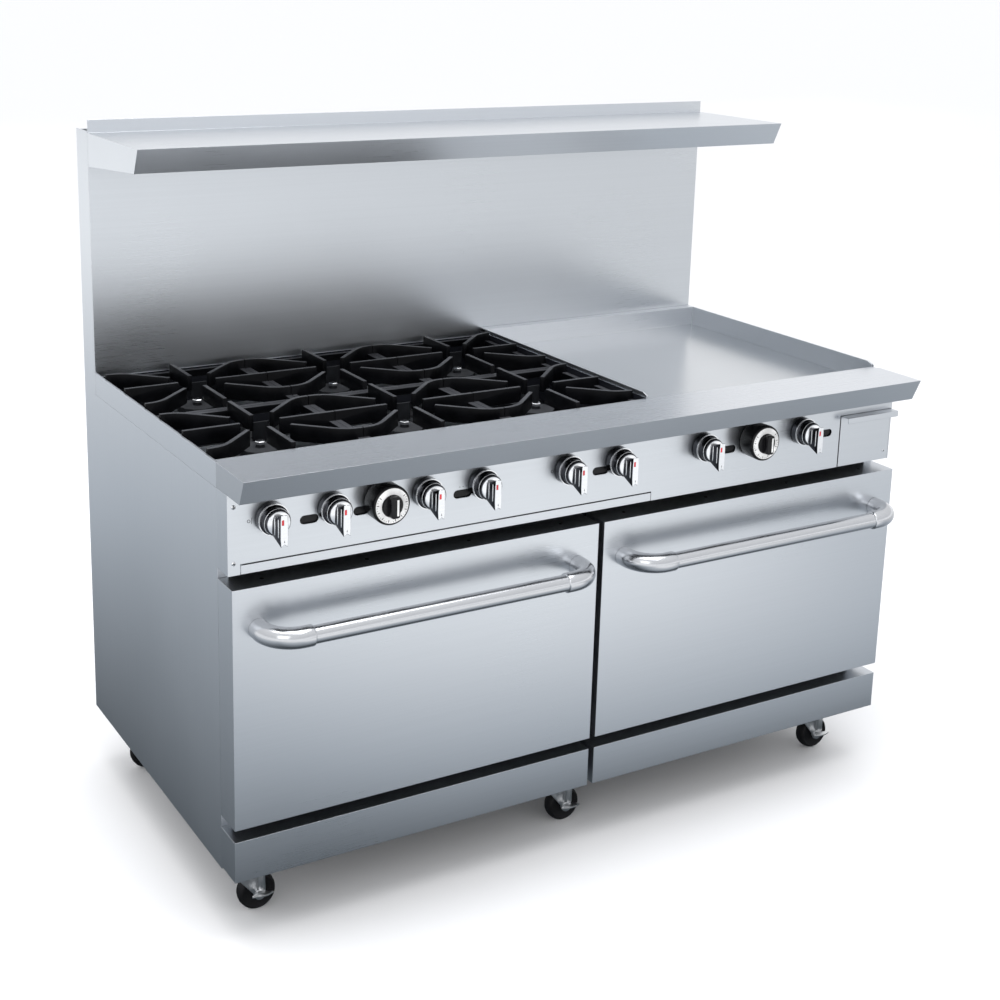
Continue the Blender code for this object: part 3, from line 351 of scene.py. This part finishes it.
def cast(name, tone, painted_top_highlight, roughness):
    """Cast iron: sandy skin, uneven seasoning, upward faces paler as a painted highlight, edges rounded by
    the mould.
    """
    material, tree, shader = new_material(name)
    sand = noise(tree, 520.0, 4)
    patches = noise(tree, 28.0, 4)
    seasoned = mixed(tree, spread(tree, patches, 0, 1), scaled(tone, 0.6), scaled(tone, 1.5))
    surface = tree.nodes.new("ShaderNodeNewGeometry")
    axes = tree.nodes.new("ShaderNodeSeparateXYZ")
    tree.links.new(surface.outputs["Normal"], axes.inputs[0])
    upward = tree.nodes.new("ShaderNodeMapRange")
    upward.inputs["From Min"].default_value = 0.55
    upward.inputs["From Max"].default_value = 0.95
    tree.links.new(axes.outputs["Z"], upward.inputs["Value"])
    # Painted highlight: upward faces take the paler tone.
    skin = mixed(tree, upward.outputs["Result"], seasoned, painted_top_highlight)
    tree.links.new(skin, shader.inputs["Base Color"])
    tree.links.new(total(tree, spread(tree, patches, roughness - 0.10, roughness + 0.06),
                         spread(tree, sand, -0.04, 0.04)), shader.inputs["Roughness"])
    shader.inputs["Specular IOR Level"].default_value = 0.10
    relief(tree, shader, sand, 0.35, 0.0006, CAST_EDGE)
    return material


def polished(name, tone, roughness):
    """Plated or buffed metal with faint buffing lines and fingerprints."""
    material, tree, shader = new_material(name)
    lines = noise(tree, 60.0, 3, (1.0, 9.0, 9.0))
    prints = noise(tree, 14.0, 3)
    shade(tree, shader, spread(tree, lines, 0, 1), scaled(tone, 0.96), tone)
    tree.links.new(spread(tree, prints, roughness - 0.02, roughness + 0.05), shader.inputs["Roughness"])
    shader.inputs["Metallic"].default_value = 1.0
    relief(tree, shader, lines, 0.03, 0.0002, POLISHED_EDGE)
    return material


def zinc(name, tone, roughness):
    """Galvanised sheet: pale and dark spangle."""
    material, tree, shader = new_material(name)
    where = tree.nodes.new("ShaderNodeTexCoord")
    cells = tree.nodes.new("ShaderNodeTexVoronoi")
    cells.inputs["Scale"].default_value = 90.0
    tree.links.new(where.outputs["Object"], cells.inputs["Vector"])
    shade(tree, shader, cells.outputs["Distance"], scaled(tone, 0.85), tone)
    tree.links.new(spread(tree, noise(tree, 40.0, 3), roughness - 0.05, roughness + 0.08),
                   shader.inputs["Roughness"])
    shader.inputs["Metallic"].default_value = 1.0
    relief(tree, shader, cells.outputs["Distance"], 0.05, 0.0002, SMALL_EDGE)
    return material


def moulded(name, tone, roughness, shine=0.5):
    """Moulded plastic, rubber or enamel: a fine skin with dust in it."""
    material, tree, shader = new_material(name)
    skin = noise(tree, 700.0, 3)
    dust = noise(tree, 35.0, 4)
    shade(tree, shader, spread(tree, dust, 0, 1), scaled(tone, 0.75), scaled(tone, 1.3))
    tree.links.new(spread(tree, dust, roughness - 0.06, roughness + 0.08), shader.inputs["Roughness"])
    shader.inputs["Specular IOR Level"].default_value = shine
    relief(tree, shader, skin, 0.12, 0.0002, SMALL_EDGE)
    return material


STEEL = (0.598, 0.622, 0.652)
ALONG_X = brushed("brushed_along_x", 0, STEEL, 0.30)
# The front ledge's one steel in two tones: darker on the front lip as painted shade, paler on top as painted
# light.
PAINTED_SHADE_ALONG_X = brushed("painted_shade_brushed_along_x", 0, (0.46, 0.48, 0.505), 0.32)
PAINTED_LIGHT_ALONG_X = brushed("painted_light_brushed_along_x", 0, (0.72, 0.74, 0.77), 0.28)
ALONG_Z = brushed("brushed_along_z", 2, STEEL, 0.32)
PLATE = brushed("ground_griddle_plate", 0, (0.68, 0.70, 0.72), 0.24)
GALVANISED = zinc("galvanised", (0.56, 0.58, 0.60), 0.42)
# The second tone of each cast iron is a painted highlight on its upward faces.
IRON = cast("cast_iron", (0.0022, 0.0024, 0.0032), (0.050, 0.052, 0.058), 0.42)
BURNER_IRON = cast("burner_iron", (0.012, 0.013, 0.015), (0.040, 0.042, 0.046), 0.45)
CHROME = polished("polished_steel", (0.78, 0.79, 0.81), 0.12)
SATIN = polished("satin_steel", (0.56, 0.57, 0.59), 0.18)
CASTER_ZINC = zinc("caster_zinc", (0.80, 0.81, 0.82), 0.34)
# The griddle's splash walls are one steel in two tones: paler at the rear as painted light, darker at the
# sides as painted shade.
PAINTED_LIGHT_SPLASH_REAR = brushed("splash_rear_painted_light", 0, (0.74, 0.76, 0.79), 0.30)
PAINTED_SHADE_SPLASH_SIDE = brushed("splash_side_painted_shade", 1, (0.40, 0.42, 0.445), 0.34)
ENAMEL_AND_PAINTED_SHADE = moulded("dark_enamel_and_painted_shade", (0.010, 0.011, 0.015), 0.38, shine=0.25)
RUBBER = moulded("black_rubber", (0.006, 0.006, 0.007), 0.55, shine=0.2)
BLACK = moulded("black_phenolic", (0.005, 0.005, 0.006), 0.28, shine=0.25)

# Nodes shown as they are; the others are replaced by the pieces made below.
NODE_MATERIALS = {
    ALONG_X: ("backguard", "high_shelf", "control_panel", "kick_plate_left", "kick_plate_right",
              "door_outer_left", "door_outer_right", "drip_tray", "grease_drawer"),
    ALONG_Z: ("side_panel_left", "side_panel_right"),
    GALVANISED: ("back_panel", "door_inner_left", "door_inner_right", "gas_manifold"),
    # On the chassis the dark enamel is painted shade in the gaps round the doors and kick plates.
    ENAMEL_AND_PAINTED_SHADE: ("oven_liner_left", "oven_liner_right", "chassis"),
    BURNER_IRON: ("oven_burners", *("top_burners_" + c for c in COLUMNS)),
    CHROME: ("oven_rack_left", "oven_rack_right"),
}
for material, names in NODE_MATERIALS.items():
    for name in names:
        nodes[name].material_slots[0].material = material


# ---------------------------------------------------------------- making shapes
SHARP_DEGREES = 30
CREASE_DEGREES = 40


def skinned(bm, rings):
    """The body through a row of rings with equal numbers of corners, closed at both ends."""
    bm.faces.new(rings[0])
    bm.faces.new(rings[-1])
    for ring, following in zip(rings, rings[1:]):
        for i in range(len(ring)):
            j = (i + 1) % len(ring)
            bm.faces.new((ring[i], ring[j], following[j], following[i]))
    bmesh.ops.recalc_face_normals(bm, faces=bm.faces[:])
    return bm


def turned(profile, centre, axis, segments):
    """A body of revolution; the outline is (radius, distance along the axis)."""
    bm = bmesh.new()
    across = Vector([1.0 if a == (axis + 1) % 3 else 0.0 for a in range(3)])
    along = Vector([1.0 if a == axis else 0.0 for a in range(3)])
    up = along.cross(across)
    rings = []
    for radius, distance in profile:
        ring = []
        for step in range(segments):
            angle = 2 * math.pi * step / segments
            spoke = across * math.cos(angle) + up * math.sin(angle)
            ring.append(bm.verts.new(Vector(centre) + along * distance + spoke * radius))
        rings.append(ring)
    return skinned(bm, rings)


def annulus(inner, outer, centre, axis, low, high, segments):
    """A flat ring between two radii."""
    bm = turned([(inner, low), (outer, low), (outer, high), (inner, high)], centre, axis, segments)
    caps = [face for face in bm.faces if len(face.verts) == segments]
    bmesh.ops.delete(bm, geom=caps, context="FACES_ONLY")
    bmesh.ops.bridge_loops(bm, edges=[edge for edge in bm.edges if edge.is_boundary])
    bmesh.ops.recalc_face_normals(bm, faces=bm.faces[:])
    return bm


def prism(profile, axis, low, high):
    """A flat outline carried along one axis; the outline gives the other two coordinates in order."""
    bm = bmesh.new()
    ends = []
    for distance in (low, high):
        ring = []
        for point in profile:
            spot = list(point)
            spot.insert(axis, distance)
            ring.append(bm.verts.new(spot))
        ends.append(ring)
    return skinned(bm, ends)


def sweep(points, radii, segments):
    """A round bar along a level path, with a radius at every point."""
    bm = bmesh.new()
    up = Vector((0, 0, 1))
    rings = []
    for i, point in enumerate(points):
        along = (points[min(i + 1, len(points) - 1)] - points[max(i - 1, 0)]).normalized()
        side = along.cross(up).normalized()
        ring = []
        for step in range(segments):
            angle = 2 * math.pi * step / segments
            ring.append(bm.verts.new(point + (side * math.cos(angle) + up * math.sin(angle)) * radii[i]))
        rings.append(ring)
    return skinned(bm, rings)


def oblong(half_across, half_up):
    """The outline of a rectangle centred on the origin."""
    return [(-half_across, -half_up), (half_across, -half_up),
            (half_across, half_up), (-half_across, half_up)]


def moved(bm, shift):
    """The shape carried by a vector."""
    bmesh.ops.translate(bm, verts=bm.verts[:], vec=Vector(shift))
    return bm


def rounded(bm, width, steps=2):
    """The shape with its sharp edges rounded."""
    limit = math.radians(SHARP_DEGREES)
    sharp = [e for e in bm.edges if e.is_manifold and e.calc_face_angle(0.0) > limit]
    bmesh.ops.bevel(bm, geom=sharp, offset=width, offset_type="OFFSET", segments=steps, profile=0.5,
                    affect="EDGES", clamp_overlap=True)
    return bm


def piece(name, parts, body, hidden=()):
    """One shown piece from several shapes, each with its own material, riding on a body."""
    whole = bmesh.new()
    mesh = bpy.data.meshes.new(name)
    for index, (bm, material) in enumerate(parts):
        for face in bm.faces:
            face.material_index = index
            face.smooth = True
        part = bpy.data.meshes.new("part")
        bm.to_mesh(part)
        bm.free()
        whole.from_mesh(part)
        bpy.data.meshes.remove(part)
        mesh.materials.append(material)
    whole.to_mesh(mesh)
    whole.free()
    mesh.set_sharp_from_angle(angle=math.radians(CREASE_DEGREES))
    shown = bpy.data.objects.new(name, mesh)
    bpy.context.scene.collection.objects.link(shown)
    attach(shown, body)
    if hidden:
        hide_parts(*hidden)
    return shown


def softened(node, width, material, body):
    """A node's own shape with its edges rounded, shown in its place."""
    bm = bmesh.new()
    bm.from_mesh(nodes[node].data)
    bmesh.ops.remove_doubles(bm, verts=bm.verts[:], dist=0.00001)
    bmesh.ops.dissolve_limit(bm, angle_limit=0.002, verts=bm.verts[:], edges=bm.edges[:])
    piece(node + "_cast", [(rounded(bm, width), material)], body, (node,))


# ---------------------------------------------------------------- controls
# A knob's depth is shared out from the panel forward; so is a dial's.
SKIRT_SHARE = 0.26
CAP_SHARE = 0.60
DRUM_SHARE = 0.714
# The grip is wider and lower where it meets the cap than at its face.
WEDGE_SPREAD = 1.9
WEDGE_SHRINK = 0.56
GRIP = ((-0.0058, 0.0215), (0.0058, 0.0215), (0.0068, 0.0100), (0.0072, -0.0210), (0.0062, -0.0355),
        (0.0, -0.0310), (-0.0062, -0.0355), (-0.0072, -0.0210), (-0.0068, 0.0100))
ROUND_STEPS = 56
TICKS = 28
TICKS_FROM = -215
TICKS_SWEEP = 250
RED = moulded("red_mark", (0.50, 0.02, 0.03), 0.40)
WHITE = moulded("white_scale", (0.78, 0.78, 0.77), 0.45)
DARK_CHROME = polished("dark_chrome", (0.055, 0.057, 0.064), 0.18)
PRINT_AND_SHADE_STEEL = polished("print_and_painted_shade_steel", (0.05, 0.052, 0.055), 0.35)


def knob(node):
    """Dark skirt and cap with chrome rings, a chrome end disc and a fluted wedge with a bright face."""
    x, y, z = pivots[node]
    centre = (x, y, z)
    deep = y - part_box(node)[0].y
    skirt, cap = deep * SKIRT_SHARE, deep * CAP_SHARE
    drum = turned([(0.0270, 0.0), (0.0285, -0.0015), (0.0285, 0.0015 - skirt), (0.0272, -skirt),
                   (0.0246, -skirt - 0.0020), (0.0240, 0.0040 - cap), (0.0226, 0.0008 - cap),
                   (0.0205, -cap)], centre, 1, ROUND_STEPS)
    rings = [annulus(0.0262, 0.0288, centre, 1, -skirt - 0.0002, 0.0010 - skirt, ROUND_STEPS),
             annulus(0.0236, 0.0246, centre, 1, 0.0052 - cap, 0.0060 - cap, ROUND_STEPS)]
    disc = turned([(0.0214, -cap), (0.0212, -cap - 0.0010), (0.0200, -cap - 0.0018)],
                  centre, 1, ROUND_STEPS)
    wedge = prism(GRIP, 1, 0.0006 - deep, -cap)
    for corner in wedge.verts:
        if corner.co.y > -cap - 0.001:
            corner.co.x *= WEDGE_SPREAD
            corner.co.z *= WEDGE_SHRINK
    wedge = rounded(wedge, 0.0007)
    inset = [(across * 0.96, up * 0.98) for across, up in GRIP]
    face = rounded(prism(inset, 1, -deep, 0.0012 - deep), 0.0004, 1)
    flutes = []
    for side in (-1, 1):
        for share in (0.35, 0.75):
            reach = 0.0070 * (1 + (WEDGE_SPREAD - 1) * (1 - share))
            drop = 0.006 * share
            outline = [(0.0003, -0.0150 - drop), (0.0009, -0.0130 - drop), (0.0009, 0.0120), (0.0003, 0.0140)]
            foot = (x + side * reach, y - cap - (deep - cap) * share, z)
            flutes.append(turned(outline, foot, 2, 10))
    mark = rounded(prism([(-0.0048, 0.0040), (-0.0006, 0.0040), (-0.0006, 0.0135), (-0.0048, 0.0135)],
                         1, -deep - 0.0003, 0.0006 - deep), 0.0002, 1)
    tick = prism([(-0.0008, -0.0270), (0.0008, -0.0270), (0.0, -0.0225)], 1, -deep - 0.0002, 0.0006 - deep)
    parts = [(drum, DARK_CHROME), (disc, CHROME)]
    parts += [(moved(wedge, centre), DARK_CHROME), (moved(face, centre), CHROME)]
    parts += [(ring, CHROME) for ring in rings]
    parts += [(flute, CHROME) for flute in flutes]
    parts += [(moved(mark, centre), RED), (moved(tick, centre), BLACK)]
    piece(node + "_turned", parts, node, (node,))


def dial(node):
    """Black drum, white scale ring with ticks, and a round grip whose bar carries a pale insert."""
    x, y, z = pivots[node]
    centre = (x, y, z)
    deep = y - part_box(node)[0].y
    front = deep * DRUM_SHARE
    drum = turned([(0.0330, 0.0), (0.0352, -0.0020), (0.0362, -0.0060), (0.0368, 0.0050 - front),
                   (0.0362, 0.0015 - front), (0.0345, -front)], centre, 1, 72)
    ring = annulus(0.0205, 0.0322, centre, 1, -front - 0.0010, 0.0002 - front, 72)
    seat = turned([(0.0205, -front), (0.0205, -front - 0.0038), (0.0192, -front - 0.0054)],
                  centre, 1, ROUND_STEPS)
    bar = rounded(prism([(-0.0085, 0.0175), (-0.0050, 0.0195), (0.0050, 0.0195), (0.0085, 0.0175),
                         (0.0085, -0.0175), (0.0050, -0.0195), (-0.0050, -0.0195), (-0.0085, -0.0175)],
                        1, 0.0003 - deep, -front - 0.0045), 0.0010)
    insert = rounded(prism([(0.0022, 0.0145), (0.0062, 0.0145), (0.0062, -0.0150), (0.0022, -0.0150)],
                           1, -deep, 0.0015 - deep), 0.0003, 1)
    parts = [(drum, BLACK), (ring, WHITE), (seat, BLACK), (moved(bar, centre), BLACK),
             (moved(insert, centre), WHITE)]
    for count in range(TICKS):
        angle = math.radians(TICKS_FROM + TICKS_SWEEP * count / (TICKS - 1))
        long_tick = count % 3 == 0
        inner, outer = (0.0262, 0.0308) if long_tick else (0.0288, 0.0308)
        half = 0.0006 if long_tick else 0.0004
        across = Vector((math.cos(angle), math.sin(angle)))
        along = Vector((-across.y, across.x)) * half
        corners = [across * inner - along, across * outer - along,
                   across * outer + along, across * inner + along]
        mark = prism([tuple(c) for c in corners], 1, -front - 0.0012, -front - 0.0004)
        parts.append((moved(mark, centre), BLACK))
    piece(node + "_scaled", parts, node, (node,))


for name in nodes:
    if name.startswith("knob_"):
        knob(name)
    elif name.startswith("thermostat_"):
        dial(name)


# ---------------------------------------------------------------- panel and door fittings
def screw(x, y, z, radius=0.0040):
    """A low pan head with a cross recess drawn as dark bars of painted shade, facing -Y."""
    head = turned([(radius, 0.0), (radius, -0.0006), (radius * 0.75, -0.0015), (radius * 0.3, -0.0018)],
                  (x, y, z), 1, 20)
    slots = []
    for long_x, long_z in ((0.62, 0.16), (0.16, 0.62)):
        half_x, half_z = radius * long_x, radius * long_z
        slots.append(moved(prism(oblong(half_x, half_z), 1, -0.00195, -0.0012), (x, y, z)))
    return [(head, CHROME)] + [(cut, PRINT_AND_SHADE_STEEL) for cut in slots]


panel_low, panel_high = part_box("control_panel")
panel_front = panel_low.y
screws = []
for x, z in ((panel_low.x + 0.0114, panel_high.z - 0.0227), (panel_low.x + 0.0106, panel_low.z + 0.0219)):
    screws += screw(x, panel_front, z)
piece("panel_screws", screws, "frame")
drawer_low, drawer_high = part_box("grease_drawer")
piece("drawer_screw", screw(drawer_high.x - 0.0130, panel_front, drawer_low.z + 0.0192, 0.0030),
      "drawer")

# A small ring beside an upright line, twice, and a row of three dashes; each stands proud by INK.
INK = 0.0003
RING_MARKS_X = (-0.723, -0.108)
RING_MARKS_Z = 0.8005
DASHES_X = (-0.309, -0.302, -0.295)
DASHES_Z = 0.8000
marks = []
for x in RING_MARKS_X:
    ring = annulus(0.0022, 0.0030, (x, panel_front, RING_MARKS_Z), 1, -INK, INK, 20)
    line = prism(oblong(0.0003, 0.0055), 1, -INK, INK)
    marks.append((ring, PRINT_AND_SHADE_STEEL))
    marks.append((moved(line, (x + 0.0052, panel_front, RING_MARKS_Z)), PRINT_AND_SHADE_STEEL))
for x in DASHES_X:
    dash = prism(oblong(0.0012, 0.0004), 1, -INK, INK)
    marks.append((moved(dash, (x, panel_front, DASHES_Z)), PRINT_AND_SHADE_STEEL))
piece("panel_marks", marks, "frame")

# A black plate behind each slot in the panel: painted shade in the slots.
SLOT_CENTRES = (-0.6100, -0.5095, -0.3025, 0.0040, 0.3180, 0.5760)
SLOT_Z = 0.7865
painted_slot_shade = []
for x in SLOT_CENTRES:
    plate = prism(oblong(0.0230, 0.0100), 1, 0.0040, 0.0046)
    painted_slot_shade.append((moved(plate, (x, panel_front, SLOT_Z)), BLACK))
piece("slot_painted_shade_plates", painted_slot_shade, "frame")


def handle(side):
    """A smooth bar in sleeved elbows."""
    node = "door_handle_" + side
    low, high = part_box(node)
    middle = (low.x + high.x) / 2
    thick = (high.z - low.z) / 2
    thin = thick - 0.003
    height = (low.z + high.z) / 2
    foot_y = high.y
    bar_y = low.y + thick
    bend = 0.055
    seam = 0.258
    span = (high.x - low.x) / 2 - thick
    points, radii = [], []
    for end in (-1, 1):
        half = [((span, foot_y), thick)]
        for step in range(17):
            angle = math.pi / 2 * step / 16
            half.append(((span - bend * (1 - math.cos(angle)), bar_y + bend * (1 - math.sin(angle))), thick))
        for x, radius in ((seam + 0.0025, thick), (seam + 0.0008, thick - 0.0006), (seam, thick - 0.0018),
                          (seam - 0.0006, thin)):
            half.append(((x, bar_y), radius))
        if end > 0:
            half.reverse()
        for (x, y), radius in half:
            points.append(Vector((middle + end * x, y, height)))
            radii.append(radius)
    piece(node + "_polished", [(sweep(points, radii, 48), SATIN)], "door_" + side, (node,))


for side in SIDES:
    handle(side)
    low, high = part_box("door_outer_" + side)
    # Black discs on each door top: painted shade standing in for holes.
    door_hole_shades = []
    for share in (0.09, 0.36, 0.64, 0.91):
        x = low.x + (high.x - low.x) * share
        top = (x, (low.y + high.y) / 2, high.z)
        door_hole_shades.append((turned([(0.0036, -0.0004), (0.0036, 0.00015)], top, 2, 20), BLACK))
    piece("door_top_hole_shade_" + side, door_hole_shades, "door_" + side)


# ---------------------------------------------------------------- cooking top
GRIDDLE_PLATE_Z = 0.8625
BURNER_RIM_Z = 0.884
PORTS = 30
PORT_RING = 0.0491
PORT_Z = 0.8300
for row in ROWS:
    for column in COLUMNS:
        node = f"grate_{row}_{column}"
        softened(node, 0.0016, IRON, node)


def finished(node, materials, choose):
    """A frame node's own shape with a finish chosen face by face, shown in its place."""
    bm = bmesh.new()
    bm.from_mesh(nodes[node].data)
    shown = piece(node + "_finished", [(bm, materials[0])], "frame", (node,))
    for material in materials[1:]:
        shown.data.materials.append(material)
    for face in shown.data.polygons:
        face.material_index = choose(face.center, face.normal)


def griddle_finish(centre, normal):
    """Ground plate, then the rear splash wall in paler steel as painted light, then the side walls in darker
    steel as painted shade.
    """
    if centre.z < GRIDDLE_PLATE_Z + 0.001:
        return 0
    return 2 if abs(normal.x) > 0.5 else 1


def burner_box_finish(centre, normal):
    """Dark inside, brushed on the outer faces and the rims."""
    low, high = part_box("burner_box")
    outward = (centre - (low + high) / 2).dot(normal)
    if abs(normal.z) > 0.5:
        return 1 if normal.z > 0 and centre.z > BURNER_RIM_Z else 0
    at_edge = min(centre.x - low.x, high.x - centre.x, centre.y - low.y, high.y - centre.y) < 0.0005
    return 1 if outward > 0 and at_edge else 0


def ledge_finish(_centre, normal):
    """Top in paler steel as painted light, front lip in darker steel as painted shade."""
    return 0 if normal.z > 0.5 else 1


def burner_trim(column):
    """Flame ports round both heads of a column, drawn as black pegs of painted shade, and the bright hex nut
    on each cap.
    """
    parts = []
    for row in ROWS:
        low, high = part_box(f"grate_{row}_{column}")
        x, y = (low.x + high.x) / 2, (low.y + high.y) / 2
        parts.append((annulus(0.0492, 0.0500, (x, y, 0), 2, 0.8255, 0.8268, 48), BURNER_IRON))
        for count in range(PORTS):
            angle = 2 * math.pi * count / PORTS
            spot = (x + PORT_RING * math.cos(angle), y + PORT_RING * math.sin(angle), PORT_Z)
            parts.append((turned([(0.0013, -0.0016), (0.0013, 0.0016)], spot, 2, 8), BLACK))
        outline = [(0.0100, 0.8588), (0.0104, 0.8596), (0.0104, 0.8640), (0.0092, 0.8652)]
        parts.append((turned(outline, (x, y, 0), 2, 6), CHROME))
    piece("burner_trim_" + column, parts, "frame")


finished("griddle", (PLATE, PAINTED_LIGHT_SPLASH_REAR, PAINTED_SHADE_SPLASH_SIDE), griddle_finish)
finished("burner_box", (ENAMEL_AND_PAINTED_SHADE, ALONG_X), burner_box_finish)
finished("front_ledge", (PAINTED_LIGHT_ALONG_X, PAINTED_SHADE_ALONG_X), ledge_finish)
for column in COLUMNS:
    burner_trim(column)


# ---------------------------------------------------------------- casters
def wheel(tag):
    """Rubber tyre with a rounded tread on a black hub, with a bearing cup each side."""
    node = "caster_wheel_" + tag
    centre = pivots["wheel_" + tag]
    low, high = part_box(node)
    half, radius = (high.y - low.y) / 2, (high.z - low.z) / 2
    seat = radius - 0.0105
    crown = 0.0055
    tyre = [(seat, half - 0.0030)]
    for step in range(9):
        angle = math.pi * step / 8
        tyre.append((radius - crown * (1 - math.sin(angle)), (half - 0.0010) * math.cos(angle)))
    tyre.append((seat, -half + 0.0030))
    half_hub = [(0.0110, half - 0.0015), (0.0125, half - 0.0040), (seat - 0.0020, half - 0.0050),
                (seat + 0.0003, half - 0.0032)]
    hub = half_hub + [(r, -d) for r, d in reversed(half_hub)]
    parts = [(turned(tyre, centre, 1, 64), RUBBER), (turned(hub, centre, 1, 48), BLACK)]
    for side in (-1, 1):
        outline = [(0.0100, side * (half - 0.0025)), (0.0092, side * (half - 0.0004)), (0.0050, side * half)]
        parts.append((turned(outline, centre, 1, 28), CASTER_ZINC))
    piece(node + "_tyre", parts, "wheel_" + tag, (node,))


for row in ROWS:
    for column in COLUMNS:
        tag = row + "_" + column
        wheel(tag)
        softened("caster_fork_" + tag, 0.0007, CASTER_ZINC, "caster_" + tag)
for column in COLUMNS:
    softened("brake_pedal_" + column, 0.0006, CASTER_ZINC, "brake_" + column)


make_camera()
make_studio()
